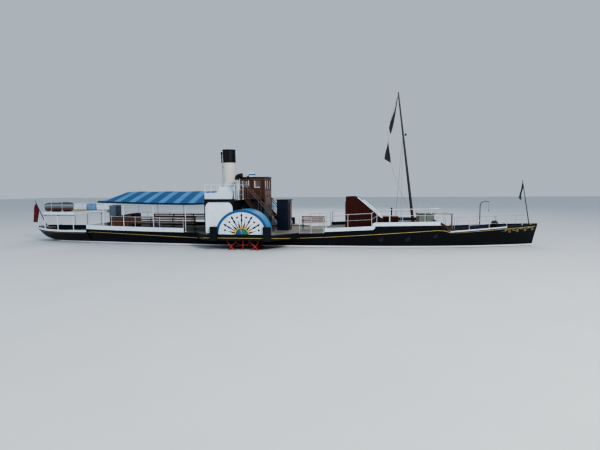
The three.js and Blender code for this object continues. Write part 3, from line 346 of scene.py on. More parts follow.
def by_facing(name, planks, side, across=1, rough=0.5):
    """Laid planks 110 mm wide with seams of 3 to 8 mm where the surface looks up, paint on its sides."""
    n = Nodes(name, Specular_IOR_Level=0.25)
    place = n.axes()[across]
    up = n.add("SeparateXYZ", {0: n.add("TexCoord").outputs["Normal"]}).outputs[2]
    count = n.sum("DIVIDE", place, PLANK_WIDTH)
    tone = n.add("TexWhiteNoise", {"W": n.sum("FLOOR", count)}, noise_dimensions="1D").outputs[0]
    stretch = (0.5, 9, 9) if across == 1 else (9, 0.5, 9)
    grain = n.noise(3.0, stretch, detail=6)
    seam = n.sum("ABSOLUTE", n.sum("SUBTRACT", n.sum("FRACT", count), 0.5))
    seam = n.span(seam, 0.465, 0.485)
    deck = n.mix(n.span(n.sum("ADD", n.sum("MULTIPLY", tone, 0.5), grain), 0.4, 1.1), planks[0], planks[1])
    deck = n.mix(n.sum("MULTIPLY", seam, 0.8), deck, "1b1714")
    patches = n.noise(1.3, detail=4)
    color = n.mix(n.span(up, 0.6, 0.8), n.mix(n.span(patches, 0.4, 0.7), side, "0e1116"), deck)
    return n.finish(
        color, n.span(patches, 0, 1, rough - 0.1, rough + 0.2), n.sum("SUBTRACT", grain, seam), 0.002,
    )


def striped(name, pale, deep, edge, pitch=1.0, weave=0.004):
    """Awning canvas: stripes athwart along x with a pitch of 1 m, seams every half pitch, threads drawn 4 mm
    apart where the real ones are 1 mm, and a deep border at the eaves."""
    n = Nodes(name, Roughness=0.8, Sheen_Weight=0.05, Specular_IOR_Level=0.25)
    x, y, _ = n.axes()
    drift = n.span(n.noise(0.7, detail=1), 0, 1, -0.02, 0.02)
    phase = n.sum("FRACT", n.sum("DIVIDE", n.sum("ADD", x, drift), pitch))
    stripe = n.sum("MULTIPLY", n.span(phase, 0.0, 0.01), n.span(phase, 0.57, 0.58, 1, 0))
    color = n.mix(stripe, pale, deep)
    folds = n.noise(2.2, (0.5, 1, 1), detail=5)
    # Painted shade: the colour deepens to dark blue in the folds.
    color = n.mix(n.span(folds, 0.45, 0.8, 0, 0.35), color, "2a5676")
    color = n.mix(n.span(n.noise(7, detail=4), 0.62, 0.8, 0, 0.15), color, "6d7a80")
    border = n.span(n.sum("ABSOLUTE", y), 2.455, 2.462)
    color = n.mix(border, color, edge)
    seams = n.span(
        n.sum("ABSOLUTE", n.sum("SUBTRACT", n.sum("FRACT", n.sum("DIVIDE", x, pitch / 2)), 0.5)), 0.47, 0.49,
    )
    thread = n.sum("SINE", n.sum("MULTIPLY", x, 2 * np.pi / weave))
    height = n.sum("ADD", n.sum("ADD", seams, n.sum("MULTIPLY", thread, 0.08)), folds)
    return n.finish(color, n.span(folds, 0, 1, 0.7, 0.92), height, 0.004)


def glass(name, tint="c9d6d8"):
    """Clear pane, smeared in patches of 0.25 m."""
    n = Nodes(name, Transmission_Weight=0.92, IOR=1.45)
    smear = n.noise(4, (1, 1, 0.3), detail=5)
    return n.finish(
        n.mix(smear, tint, "e6eeee"), n.span(smear, 0.4, 0.8, 0.02, 0.18), n.noise(3, detail=1), 0.0005,
    )


# Brushed enamel on plates and boards gives an even, dull gloss: darker runs under every edge, worn patches
# a shade off, and on the hull a chalky red below the water and a pale line at it.
HULL_PAINT = by_height(
    "black_hull_enamel", [(-9, "4b2721"), (0.03, "d6dbe0"), (0.125, "06080d")], 0.42, 0.06,
    Specular_IOR_Level=0.2,
)
# Painted shade: the white is tinted blue, as white paint looks in sky-lit shade.
WHITE = paint("white_enamel_with_painted_sky_shade", "d8e5f5", "c9d9ec", "858a8e", 0.35, 0.2)
CREAM_FUNNEL = by_height(
    "funnel_enamel", [(-9, "cfd0cb"), (5.32, "090b0f")], 0.45, 0.2, Specular_IOR_Level=0.25,
)
BLACK = paint("black_enamel", "0a0c10", "101318", "2a2724", 0.4, 0.2, Specular_IOR_Level=0.25)
NAVY = paint("dark_blue_enamel", "0b1324", "10192c", "22262c", 0.4, 0.2, Specular_IOR_Level=0.3)
RIM_BLUE = paint("mid_blue_enamel", "1f4f80", "1b4672", "1c3550", 0.4, 0.2)
SKY_BLUE = paint("pale_blue_enamel", "4287ba", "3474a5", "2b5878", 0.4, 0.3)
RED = paint("red_oxide_enamel", "a32420", "8a1f1c", "4b2a24", 0.5, 0.5)
DARK_RED = paint("dark_red_enamel", "591313", "481012", "2c0e0e", 0.5, 0.2, Specular_IOR_Level=0.25)
SPEAR_BROWN = paint("dark_brown_enamel", "120b08", "1a110c", "241812", 0.5, 0.1, Specular_IOR_Level=0.2)
SEA_GREEN = paint("sea_green_enamel", "276f66", "225f58", "1c423e", 0.4, 0.2)
CREAM_SASH = paint("cream_sash_enamel", "d9cdb9", "cabda8", "8f8474", 0.45, 0.2)
STRAW = paint("straw_lining_enamel", "cdb874", "bba564", "8f7c4a", 0.45, 0.2)
FLAME = paint("pale_yellow_enamel", "d8c862", "c8b453", "9a8440", 0.45, 0.2)
# Scrubbed planks look grey and matt with dark caulked seams, and the deck planks are darker still as painted
# shade.
# Varnished wood is deep brown with a thin gloss, and handled wood is dull and bleached.
DECK = wood("weathered_deck_planks_in_painted_shade", "56534f", "6f6b64", "857f75", 0, 0.62, 0.11)
DECK_ACROSS = wood("platform_planks", "9a8a72", "b0a189", "c4b8a2", 0, 0.65, 0.14)
MAHOGANY = wood("varnished_planking", "1a0d09", "341b10", "45271a", 2, 0.45, 0.12, 1, Coat_Weight=0.08)
MAHOGANY_SIDE = wood("varnished_boards", "1a0d09", "341b10", "45271a", 2, 0.45, 0.12, 0, Coat_Weight=0.08)
TEAK = wood("varnished_teak_trim", "3c2010", "63381b", "7f4b28", 0, 0.35, Coat_Weight=0.15)
RED_WOOD = wood("red_brown_boards", "170302", "2f0803", "420e05", 2, 0.5, 0.14, 1, Specular_IOR_Level=0.2)
RAIL_WOOD = wood("worn_handrail", "3f2c27", "5e463e", "775c51", 0, 0.45)
# Painted shade: the stair boards are darkened as they look in the shade under the bridge.
SHADED_STAIR_WOOD = wood("stair_boards_in_painted_shade", "21150f", "33221b", "443028", 0, 0.5)
DARK_WOOD = wood("oiled_seat_slats", "2c1a12", "4a2e1e", "5d4030", 0, 0.5)
SPAR = wood("dark_spar_varnish", "0e0908", "1a0f0b", "28160f", 2, 0.35, Coat_Weight=0.2)
# Polished brass throws sharp warm lights, machined steel broad grey ones; blacked iron and zinc are dull.
BRASS = metal("polished_brass", "c9993a", "8a6426", 0.22)
STEEL = metal("machinery_steel", "8b8f92", "5c5f61", 0.3)
IRON = paint("blacked_iron", "121417", "1b1d20", "3a2e27", 0.5, 0.3, Metallic=0.3)
GREY_RAIL = paint("galvanised_rail", "b9c0c6", "a4acb3", "77797a", 0.4, 0.3, Metallic=0.3)
# A pane shows clear, with faint smears.
WINDOW = glass("window_glass")
# Sunlit canvas and bunting are matt, with soft tones where dirt has gathered; the awning's folds are darkened
# with painted shade.
AWNING = striped("striped_awning_canvas", "4184b6", "15497c", "0c2c3c")
CANVAS = cloth("white_canvas", ("c6d4e3", "b6c5d7"), "8d969c")
RED_BUNTING = cloth("red_bunting", ("6c1c2a", "551824"), "33101a", 0.003)
NAVY_BUNTING = cloth("dark_blue_bunting", ("0b1026", "111731"), "070914", 0.003)
GREEN_BUNTING = cloth("dark_green_bunting", ("173c3a", "122f30"), "0b1e20", 0.003)
# The boat's paint lies in uneven bands, darkest at the bottom; deck and guard planks end in painted edges.
BOAT_HULL = by_height(
    "banded_boat_paint", [(-9, "2e2622"), (2.17, "57403c"), (2.36, "6f7680"), (2.62, "4f5560")], 0.5, 0.3,
)
# Painted shade: the guard planks are greyed and darkened as they look in shade.
GUARD = by_facing("guard_deck_in_painted_shade_and_beam", ("5a5752", "7a756c"), "06080c", 0, 0.4)
BRIDGE = by_facing("bridge_deck_and_edge", ("5e5b55", "7c776e"), "090b0e", 1, 0.45)
GREEN_PANEL = paint("dark_teal_enamel", "143038", "10262f", "1c282c", 0.4, 0.2, Specular_IOR_Level=0.3)
GREY_PANEL = paint("grey_locker_enamel", "6d7b88", "5f6c79", "4e5357", 0.5, 0.3)
SKYLIGHT = paint("green_grey_enamel", "66746f", "5b6966", "454c49", 0.4, 0.35)
PLANK = wood("bleached_plank", "7a6a55", "948369", "ab9a7d", 0, 0.6)
ROPE = cloth("tarred_rope", ("8a7550", "6e5c3e"), "3f3524", 0.012)
# Painted shade: the engine house under the bridge is near black below and dark teal above, the colours of its
# shadow, as its own paint is not known.
SHADED_CASING = by_height(
    "engine_house_painted_shade", [(-9, "0c1420"), (1.75, "11242e")], 0.4, 0.15, Specular_IOR_Level=0.3,
)
HATCH_PAINT = by_height(
    "hatch_house_enamel", [(-9, "0a1228"), (2.82, "0a0c10")], 0.4, 0.15, Specular_IOR_Level=0.3,
)
HATCH_WOOD = wood("orange_brown_boards", "35190d", "5c2f17", "7b4625", 2, 0.45, 0.11, 0, Coat_Weight=0.08)
LOCKER_BLUE = paint("locker_blue_enamel", "6b9ccc", "5f90c0", "56707f", 0.45, 0.3)
GILT = paint("dull_gilt_enamel", "9c9270", "877d5c", "6a6248", 0.5, 0.2)

# Hull stations from stern to stem: x, half breadth of the top, half breadth and height of the
# turn of the bilge, half breadth of the floor, height of the keel, fullness of the bilge curve
STATIONS = np.array([
    (-16.62, 0.33, 0.3, 0.85, 0.12, 0.81, 1.6),
    (-16.4, 0.76, 0.6, 0.74, 0.24, 0.66, 1.5),
    (-16.0, 1.12, 0.86, 0.56, 0.24, 0.45, 1.4),
    (-15.4, 1.5, 1.12, 0.33, 0.14, 0.14, 1.3),
    (-14.63, 1.84, 1.24, 0.12, 0.06, -0.2, 1.1),
    (-14.6, 1.85, 1.24, 0.11, 0.06, -0.86, 0.5),
    (-13.5, 2.06, 1.38, 0, 0.06, -0.87, 0.8),
    (-11.62, 2.27, 1.6, 0, 0.08, -0.88, 1.3),
    (-9, 2.47, 1.9, 0, 0.42, -0.9, 1.9),
    (-6, 2.59, 2.2, 0, 1.05, -0.9, 2.6),
    (-3.5, 2.65, 2.37, 0, 1.5, -0.9, 3),
    (2.7, 2.65, 2.42, 0, 1.6, -0.9, 3),
    (4.2, 2.63, 2.39, 0, 1.45, -0.9, 2.8),
    (7.13, 2.52, 2.26, 0, 0.95, -0.9, 2.2),
    (11, 2.1, 1.8, 0, 0.25, -0.9, 1.5),
    (11.25, 2.055, 1.75, 0, 0.22, -0.9, 1.45),
    (11.6, 1.99, 1.68, 0, 0.18, -0.9, 1.4),
    (13, 1.68, 1.34, 0, 0.08, -0.9, 1.2),
    (14.5, 1.23, 0.9, 0, 0.06, -0.9, 1.1),
    (15.8, 0.74, 0.45, 0, 0.06, -0.88, 1),
    (16.4, 0.46, 0.21, 0, 0.055, -0.7, 1),
    (16.74, 0.27, 0.07, 0.12, 0.055, -0.06, 1),
    (16.9, 0.17, 0.06, 0.8, 0.055, 0.64, 1),
    (17.05, 0.07, 0.058, 1.26, 0.055, 1.2, 1),
])
# Heights of the top of the side and of the gold line, as x and z
SHEER = np.array([
    (-16.62, 0.93), (-16.4, 0.9), (-16.0, 0.86), (-15.4, 0.83), (-14.6, 0.8), (-13.5, 0.78), (-11.62, 0.79),
    (-11.6, 1.0), (-9, 0.94), (-6, 0.89), (-3.5, 0.87), (2.7, 0.87), (4.2, 0.905), (4.22, 0.98), (7.13, 1.12),
    (7.15, 1.33), (11, 1.38), (11.25, 1.18), (11.6, 0.95), (13, 1.05), (14.5, 1.15), (15.8, 1.23),
    (16.4, 1.27), (16.74, 1.29), (16.9, 1.3), (17.05, 1.31),
])
GOLD_LINE = np.array([
    (-16.55, 0.85), (-15.4, 0.76), (-14, 0.705), (-11.9, 0.715), (-11.3, 0.8), (-8, 0.68), (-5, 0.57),
    (-3.8, 0.53), (2.7, 0.58), (4.5, 0.66), (7.1, 0.82), (10.9, 1.06), (11.3, 1.04), (11.65, 0.9),
    (13.3, 1.0), (15, 1.11), (16.9, 1.2),
])
STERN_WELL, BOW_WELL, ENGINE_WELL, SHAFT_TRENCH = (-16.05, -11.7), (11.3, 16.6), (-3.2, 0.06), (-0.56, -0.3)
STERN_FLOOR, BOW_FLOOR, ENGINE_FLOOR, TRENCH_FLOOR = 0.62, 0.76, -0.7, 0.79
WALL = 0.07           # thickness of the side above a well
GAP = 3e-4            # between two pieces that touch
AXLE = (-0.43, 0.92)  # x and z of the paddle shaft
GUARD_TOP = 0.92 + GAP
BRIDGE_TOP = 2.93
PLATFORM_TOP = 2.08
FASCIA_TOP = PLATFORM_TOP - 1e-4
HOUSE_WALL = 0.95     # half breadth of the wheelhouse
ENGINE_HOUSE_WALL = 1.25


def hermite(t, start, end, leaving, arriving):
    """Cubic from start to end over t from 0 to 1, with its two slopes."""
    near, far = (1 - t) ** 2, t * t
    first = (1 + 2 * t) * near * start + t * near * leaving
    return first + far * (3 - 2 * t) * end + far * (t - 1) * arriving


def smooth(x, column):
    """Monotone cubic through the stations: Hermite, with each slope the harmonic mean of its chords."""
    xs, ys = STATIONS[:, 0], STATIONS[:, column]
    step = np.diff(xs)
    chord = np.diff(ys) / step
    slope = np.concatenate([chord[:1], np.zeros(len(xs) - 2), chord[-1:]])
    same = chord[:-1] * chord[1:] > 0
    slope[1:-1][same] = (2 * chord[:-1] * chord[1:] / (chord[:-1] + chord[1:] + 1e-12))[same]
    k = np.clip(np.searchsorted(xs, x, "right") - 1, 0, len(xs) - 2)
    return hermite((x - xs[k]) / step[k], ys[k], ys[k + 1], step[k] * slope[k], step[k] * slope[k + 1])


def edge(x):
    """Half breadth of the hull at the top of its side."""
    return smooth(np.asarray(x, float), 1)


def sheer(x):
    """Height of the top of the side, straight between its stations."""
    return np.interp(x, SHEER[:, 0], SHEER[:, 1])


def on_deck(x):
    """Height of what stands on the deck at x, a joint's gap above it."""
    return float(sheer(x)) + GAP


def side_y(x, z):
    """Half breadth of the topside at height z: straight from the turn of the bilge to the top."""
    x = np.asarray(x, float)
    turn, low, top = smooth(x, 2), smooth(x, 3), sheer(x)
    return turn + (edge(x) - turn) * np.clip((z - low) / (top - low), 0, 1)


def inside(x, span):
    """Whether x lies within a span."""
    return span[0] < x < span[1]


def hull_parts():
    """Loft of closed rings: y = floor + (turn - floor) cos(a)^(2/f), z = turn height - depth sin(a)^(2/f)
    round the bilge, straight topsides, then the deck or the floor of a well."""
    breaks = [
        v for span in (STERN_WELL, BOW_WELL, ENGINE_WELL, SHAFT_TRENCH) for b in span
        for v in (b - 5e-4, b + 5e-4)
    ]
    xs = np.unique(np.concatenate([np.linspace(-16.62, 17.05, 230), SHEER[:, 0], STATIONS[:, 0], breaks]))
    rows = []
    for x in xs:
        top, turn, level, floor, keel, full = (float(smooth(x, c)) for c in range(1, 7))
        a = np.linspace(np.pi / 2, 0, 13)
        y = floor + (turn - floor) * np.cos(a) ** (2 / full)
        z = level + (keel - level) * np.sin(a) ** (2 / full)
        rail = TRENCH_FLOOR if inside(x, SHAFT_TRENCH) else float(sheer(x))
        up = np.linspace(0, 1, 6)[1:]
        y = np.concatenate([y, turn + (top - turn) * up])
        z = np.concatenate([z, level + (rail - level) * up])
        in_well = inside(x, STERN_WELL) or inside(x, BOW_WELL)
        inner = max(0.06, top - WALL) if in_well else min(1.0, top * 0.5)
        lid = rail - 1e-4
        for span, floor_z in ((STERN_WELL, STERN_FLOOR), (BOW_WELL, BOW_FLOOR), (ENGINE_WELL, ENGINE_FLOOR)):
            lid = floor_z if inside(x, span) else lid
        foot = max(0.06, float(side_y(x, lid)) - WALL) if in_well else inner
        y = np.concatenate([y, [inner, foot]])
        z = np.concatenate([z, [rail, lid]])
        half = np.stack([np.full(len(y), x), y, z], 1)
        rows.append(np.concatenate([half, half[::-1] * (1, -1, 1)]))
    side = [0] * 17 + [1, 2]
    return [grid(rows, side + [1] + side[::-1] + [0])]


def along_hull(x0, x1, count=90):
    """Stations from x0 to x1, with those of the sheer between them."""
    extra = [x for x in SHEER[:, 0] if x0 < x < x1]
    return np.unique(np.concatenate([np.linspace(x0, x1, count), extra]))


def side_strip(side, x0, x1, section, material=0, count=90):
    """Moulding along the hull's edge: section(x) gives pairs of how far it stands out and its height."""
    rows = []
    for x in along_hull(x0, x1, count):
        rows.append([(x, side * max(float(edge(x)) + out, 0.008), z) for out, z in section(x)])
    return grid(rows, material)


def half_round(out, z, r, depth=0.02):
    """Section of a half-round moulding of radius r whose back is depth inside the surface."""
    a = np.radians(np.linspace(-90, 90, 7))
    return [(out - depth, z - r)] + [
        (out + 0.7 * r * math.cos(k), z + r * math.sin(k)) for k in a
    ] + [(out - depth, z + r)]


def strake_section(x):
    """Half-round strake 30 mm under the edge of the side."""
    return half_round(0, float(sheer(x)) - 0.03, 0.022)


def side_line(side, table, r, material=0):
    """Moulding that lies on the topside at the heights of a table."""
    rows = []
    for x in np.linspace(table[0, 0], table[-1, 0], 12 * len(table)):
        z = float(np.interp(x, table[:, 0], table[:, 1]))
        y = float(side_y(x, z))
        rows.append([(x, side * max(y + out, 0.01), h) for out, h in half_round(0.0, z, r)])
    return grid(rows, material)


def porthole(side, x, z):
    """Iron ring with a dark pane, lying on the topside."""
    y = side * (float(side_y(x, z)) + 0.004)
    return [
        ring_bar((x, y, z), 1, 0.13, 0.02, 0), lathe(capped([(0.12, -0.01), (0.12, 0.004)]), (x, y, z), 1, 1),
    ]


def scroll(side):
    """Vine on the bow: a waved stem, and curls strung on it, each a spiral
    p(t) = centre + r(t) (cos t, sin t) whose radius falls to a quarter."""
    parts = []

    def middle(x):
        """Height of the vine's middle line at x."""
        return 1.0 + 0.07 * (x - 15.0)

    stem = [(x, middle(x) + 0.05 * math.sin(9 * (x - 15.0))) for x in np.linspace(14.7, 16.8, 44)]
    curves = [stem]
    for k, x in enumerate(np.arange(14.95, 16.75, 0.25)):
        turn = -1 if k % 2 else 1
        t = np.linspace(0, 3.4 * np.pi, 26)
        r = 0.095 * (1 - 0.75 * t / t[-1])
        z = middle(x) + turn * 0.06
        curves.append(list(zip(x + r * np.cos(t), z + turn * r * np.sin(t))))
    for curve in curves:
        path = [(x, side * (float(side_y(x, z)) + 0.004), z) for x, z in curve]
        parts.append(tube(
            path, np.interp(np.linspace(0, 1, len(path)), [0, 0.5, 1], [0.006, 0.012, 0.006]), 1, 6,
        ))
    return parts


def posts_and_rails(points, height, rails, post=0.018, material=0, knob=True):
    """Stanchions at the points with round rails at each height above them."""
    parts = []
    for x, y, z in points:
        parts.append(tube([(x, y, z), (x, y, z + height)], post, material, 8))
        parts.append(flange((x, y, z), 0.045, 0.01, 0.022, 0.03, material, 10))
        if knob:
            parts.append(ball((x, y, z + height), post * 1.6, material, 8))
    for level, r in rails:
        parts.append(tube([(x, y, z + level) for x, y, z in points], r, material, 8))
    return parts


def edge_points(side, stations, inset, rise):
    """Feet of posts along one side: inset from the edge and risen above the sheer."""
    return [(x, side * (float(edge(x)) - inset), float(sheer(x)) + rise) for x in stations]


def rail_cap(low, high, proud, inner):
    """Section of a bulwark band with a rounded cap, as pairs of stand-out and height above the sheer."""
    outline = [
        (-inner, low), (proud * 0.4, low), (proud * 0.4, high - 0.045), (proud * 0.8, high - 0.04),
        (proud, high - 0.025), (proud, high - 0.012), (proud * 0.7, high), (-inner * 0.9, high),
        (-inner, high - 0.012),
    ]

    def section(x):
        """The outline, set on the sheer at x."""
        return [(out, float(sheer(x)) + h) for out, h in outline]

    return section


def staff(foot, head, r0, r1, material=1):
    """Tapered flagstaff with a truck."""
    return [tube([foot, head], [r0, r1], material, 14), ball(head, r1 * 1.25, material)]


def stern_rim():
    """Rim round the counter with its end piece and step, the raked ensign staff with its stay, and cleats."""
    parts = [
        side_strip(side, -16.61, -11.64, rail_cap(GAP, 0.11, 0.025, WALL), [0] * 7 + [3] * 2)
        for _, side in SIDES
    ]
    parts += [
        block(-16.63, -16.53, -0.33, 0.33, 0.93 + GAP, 1.04), block(-16.6, -16.2, -0.09, 0.09, 0.95, 1.0),
    ]
    parts += staff((-16.309, 0, 0.985), (-17.155, 0, 2.79), 0.034, 0.022)
    parts += [tube([(-16.55, 0, 1.5), (-16.22, 0, 0.99)], 0.012, 2, 8)]
    piece("stern_rim_band", parts, [WHITE, SPAR, GREY_RAIL, NAVY], stands_for=["stern_rim"])
    cleats = []
    for _, side in SIDES:
        for x in (-16.0, -13.6, -12.2):
            y = side * (float(edge(x)) - 0.03)
            z = float(sheer(x)) + 0.16
            horns = [(x - 0.11, y, z + 0.005), (x, y, z), (x + 0.11, y, z + 0.005)]
            cleats += [tube(horns, [0.008, 0.014, 0.008], 0, 8)]
            cleats += [tube([(x + d, y, z - 0.055), (x + d, y, z)], 0.013, 0, 8) for d in (-0.03, 0.03)]
    piece("stern_cleats", cleats, [IRON])


def aft_bulwark():
    """Band from the stern well to the gangway, a board across its aft end, and open rails above."""
    parts = [
        side_strip(side, -11.59, -4.69, rail_cap(GAP, 0.26, 0.02, 0.06), [0] * 7 + [2] * 2)
        for _, side in SIDES
    ]
    parts += [
        block(-11.59, -11.53, -2.26, 2.26, 1.0 + GAP, 1.258), block(-11.6, -11.52, -2.26, 2.26, 1.24, 1.262),
    ]
    for _, side in SIDES:
        stations = [-11.4, -9.7, -8.0, -6.3, -4.7]
        parts += posts_and_rails(
            edge_points(side, stations, 0.03, 0.255), 0.65, [(0.64, 0.012), (0.33, 0.007)], 0.016, material=1,
        )
    piece("aft_bulwark_band", parts, [WHITE, GREY_RAIL, NAVY], stands_for=["aft_bulwark"])


def fore_bulwark():
    """Two bands stepped with the sheer, a board across the break of the deck, and open rails above."""
    parts = []
    for _, side in SIDES:
        for x0, x1 in ((4.225, 7.125), (7.155, 10.99)):
            parts.append(side_strip(side, x0, x1, rail_cap(GAP, 0.21, 0.02, 0.06), [0] * 7 + [2] * 2))
        parts.append(block(7.05, 7.2, side * 2.46, side * 2.53, 1.2, 1.5))
        mid = edge_points(side, [2.7, 3.4, 4.15, 4.3], 0.035, 0.002)
        parts += posts_and_rails(mid, 0.92, [(0.91, 0.016), (0.61, 0.01), (0.31, 0.01)], material=1)
        fore = edge_points(side, [4.35, 5.6, 7.0, 7.3, 8.8, 10.1, 10.9], 0.03, 0.205)
        parts += posts_and_rails(fore, 0.78, [(0.77, 0.016), (0.4, 0.01)], material=1)
    parts += [block(10.93, 10.99, -2.09, 2.09, 1.38 + GAP, 1.585)]
    piece("fore_bulwark_band", parts, [WHITE, GREY_RAIL, NAVY], stands_for=["fore_bulwark"])


def bow_cap():
    """Cap of the low side at the bow, with the stem piece, the jackstaff, open rails and mooring rings."""
    parts = [
        side_strip(side, x0, x1, rail_cap(GAP, 0.06, 0.025, WALL + 0.01), [finish] * 7 + [4] * 2)
        for _, side in SIDES for x0, x1, finish in ((11.6, 15.0, 0), (15.0, 17.05, 4))
    ]
    parts += [block(16.85, 17.07, -0.07, 0.07, 1.31, 1.37, 4), block(16.5, 16.9, -0.28, 0.28, 1.3, 1.34, 4)]
    parts += staff((16.6, 0, 1.335), (16.142, 0, 3.99), 0.032, 0.02, 2)
    for _, side in SIDES:
        points = edge_points(side, [12.7, 13.9, 15.0, 16.0, 16.6], 0.035, 0.055)
        parts += posts_and_rails(points, 0.52, [(0.51, 0.013), (0.26, 0.008)], 0.015, material=1)
        parts += [
            ring_bar(
                (x, side * (float(edge(x)) - 0.03), float(sheer(x)) + 0.085), 1, 0.05, 0.014, 3, steps=16,
            ) for x in (12.3, 15.4)
        ]
    piece("bow_cap_rail", parts, [WHITE, GREY_RAIL, SPAR, IRON, BLACK], stands_for=["bow_cap"])


def hull_trim():
    """Gold line and scrolls, half-round strakes, guard mouldings, fender straps and portholes."""
    line = []
    strakes = []
    ports = []
    for _, side in SIDES:
        aft = GOLD_LINE[GOLD_LINE[:, 0] <= -3.7]
        fore = GOLD_LINE[GOLD_LINE[:, 0] >= 2.6]
        line += [side_line(side, aft, 0.012), side_line(side, fore, 0.012)]
        guard = [(-3.9, 2.655), (-2.7, 4.262), (1.35, 4.262), (2.65, 2.655)]
        line += [tube([(x, side * y, z) for (x, y), z in zip(guard, (0.53, 0.73, 0.73, 0.58))], 0.013, 0, 8)]
        for x0, x1 in ((-16.58, -11.65), (-11.57, -3.95), (2.75, 7.1), (7.16, 10.98), (11.62, 17.0)):
            strakes.append(side_strip(side, x0, x1, strake_section))
        strakes += [tube([(x, side * y, z) for x, y in guard], 0.028, 0, 8) for z in (0.89, 0.61)]
        for x0, x1 in ((-2.32, -1.91), (0.84, 1.3)):
            for z in (0.66, 1.24):
                strakes.append(block(x0 - 0.008, x1 + 0.008, side * 4.25, side * 4.398, z, z + 0.05, 1))
        for x, z in ((7.55, 0.54), (9.13, 0.58), (10.73, 0.73)):
            ports += porthole(side, x, z)
        line += scroll(side)
    piece("gold_line_and_scrolls", line, [STRAW, GILT])
    piece("rubbing_strakes", strakes, [BLACK, IRON])
    piece("portholes", ports, [IRON, NAVY])


ARCH_STEPS = 72  # steps round a half circle over the axle


def half_disc(radius, y0, y1, material, hole=0.0, wide=1.0):
    """Half disc over the axle, extruded across the ship; hole is the radius of a notch round the axle,
    wide the stretch fore and aft."""
    x0, z0 = AXLE
    tilt = math.asin((GUARD_TOP - z0) / radius)
    a = np.linspace(tilt, np.pi - tilt, ARCH_STEPS)
    outline = list(zip(x0 + wide * radius * np.cos(a), z0 + radius * np.sin(a)))
    if hole:
        b = np.linspace(np.pi, 0, 16)
        outline += list(zip(x0 + hole * np.cos(b), GUARD_TOP + hole * np.sin(b)))
    return prism(outline, 1, min(y0, y1), max(y0, y1), material)


def half_ring(r0, r1, y0, y1, material, wide=1.0):
    """Arch of rectangular section over the axle, from radius r0 to r1, stretched fore and aft by wide."""
    rows = []
    for k in np.linspace(0, 1, ARCH_STEPS):
        row = []
        for r, y in ((r0, y0), (r1, y0), (r1, y1), (r0, y1)):
            tilt = math.asin((GUARD_TOP - AXLE[1]) / r)
            a = tilt + (np.pi - 2 * tilt) * k
            row.append((AXLE[0] + wide * r * math.cos(a), y, AXLE[1] + r * math.sin(a)))
        rows.append(row)
    return grid(rows, material)


def spoke(angle, outline, y0, y1, material):
    """Flat shape laid along a ray from the axle; outline is (distance out, half width) from root to tip."""
    a = math.radians(angle)
    ray, across = np.array([math.cos(a), math.sin(a)]), np.array([-math.sin(a), math.cos(a)])
    points = [np.array(AXLE) + r * ray + w * across for r, w in outline]
    points += [np.array(AXLE) + r * ray - w * across for r, w in outline[::-1]]
    return prism(points, 1, min(y0, y1), max(y0, y1), material)


def sector(radius, a0, a1, y0, y1, material):
    """Slice of a disc about the axle between two angles in degrees."""
    a = np.radians(np.linspace(a0, a1, 14))
    arc = list(zip(AXLE[0] + radius * np.cos(a), AXLE[1] + radius * np.sin(a)))
    return prism([AXLE] + arc, 1, min(y0, y1), max(y0, y1), material)


FACE_STRETCH = 1.075  # the face board is this much wider than the drum behind it
FACE_BACK = 4.244     # where the painted shapes of the face begin, from the middle line
# Outlines from root to tip: distance from the axle, half width
SPEAR = [
    (0.44, 0.02), (0.74, 0.026), (0.88, 0.054), (0.97, 0.027), (1.06, 0.028), (1.12, 0.064), (1.26, 0.005),
]
DART = [(0.42, 0.045), (0.62, 0.04), (0.7, 0.018), (0.88, 0.008)]


def paddle_box(name, side):
    """Curved casing with a wider flat face, a blue rim and a sunburst of spears, darts and studs."""
    shell = [half_ring(1.42, 1.46, side * 2.652, side * 4.232, 0)]
    shell += [half_ring(1.455, 1.468, side * v, side * (v + 0.05), 0) for v in (2.7, 3.2, 3.7)]
    shell += [half_disc(1.421, side * 2.653, side * 2.69, 1, 0.13)]
    shell += [half_disc(1.44, side * 4.205, side * 4.245, 1, wide=FACE_STRETCH)]
    shell += [half_ring(1.315, 1.462, side * 4.229, side * 4.262, 2, wide=FACE_STRETCH)]
    f0 = side * FACE_BACK
    for angle in (30, 60, 90, 120, 150):
        shell.append(spoke(angle, [(0.36, 0.085), (0.5, 0.05), (0.64, 0.012)], f0, side * 4.254, 3))
        shell.append(spoke(angle, SPEAR, f0, side * 4.26, 6))
    for angle in (15, 45, 75, 105, 135, 165):
        shell.append(spoke(angle, [(0.36, 0.09), (0.5, 0.06), (0.76, 0.008)], f0, side * 4.252, 3))
        shell.append(spoke(angle, DART, f0, side * 4.258, 5 if angle in (15, 75, 165) else 6))
        a = math.radians(angle)
        spot = (AXLE[0] + 1.04 * math.cos(a), f0, AXLE[1] + 1.04 * math.sin(a))
        shell.append(lathe(capped([(0.062, 0), (0.056, side * 0.012)]), spot, 1, 6, 14))
    shell += [half_disc(0.385, f0, side * 4.256, 8), half_disc(0.35, f0, side * 4.26, 2)]
    shell += [sector(0.35, 8, 82, f0, side * 4.263, 7), sector(0.34, 86, 112, f0, side * 4.263, 9)]
    shell += [block(-1.99, 1.13, side * 4.2, side * 4.264, 0.9205, 0.95, 4)]
    finishes = [
        SKY_BLUE, WHITE, RIM_BLUE, FLAME, BLACK, DARK_RED, SPEAR_BROWN, SEA_GREEN, GREEN_PANEL, GREY_PANEL,
    ]
    piece(f"paddle_box_casing_{name}", shell, finishes, stands_for=[f"paddle_box_{name}"])


WHEEL_RIMS = (2.79, 4.05)  # distance of the two rims from the middle line
BOARDS = 8


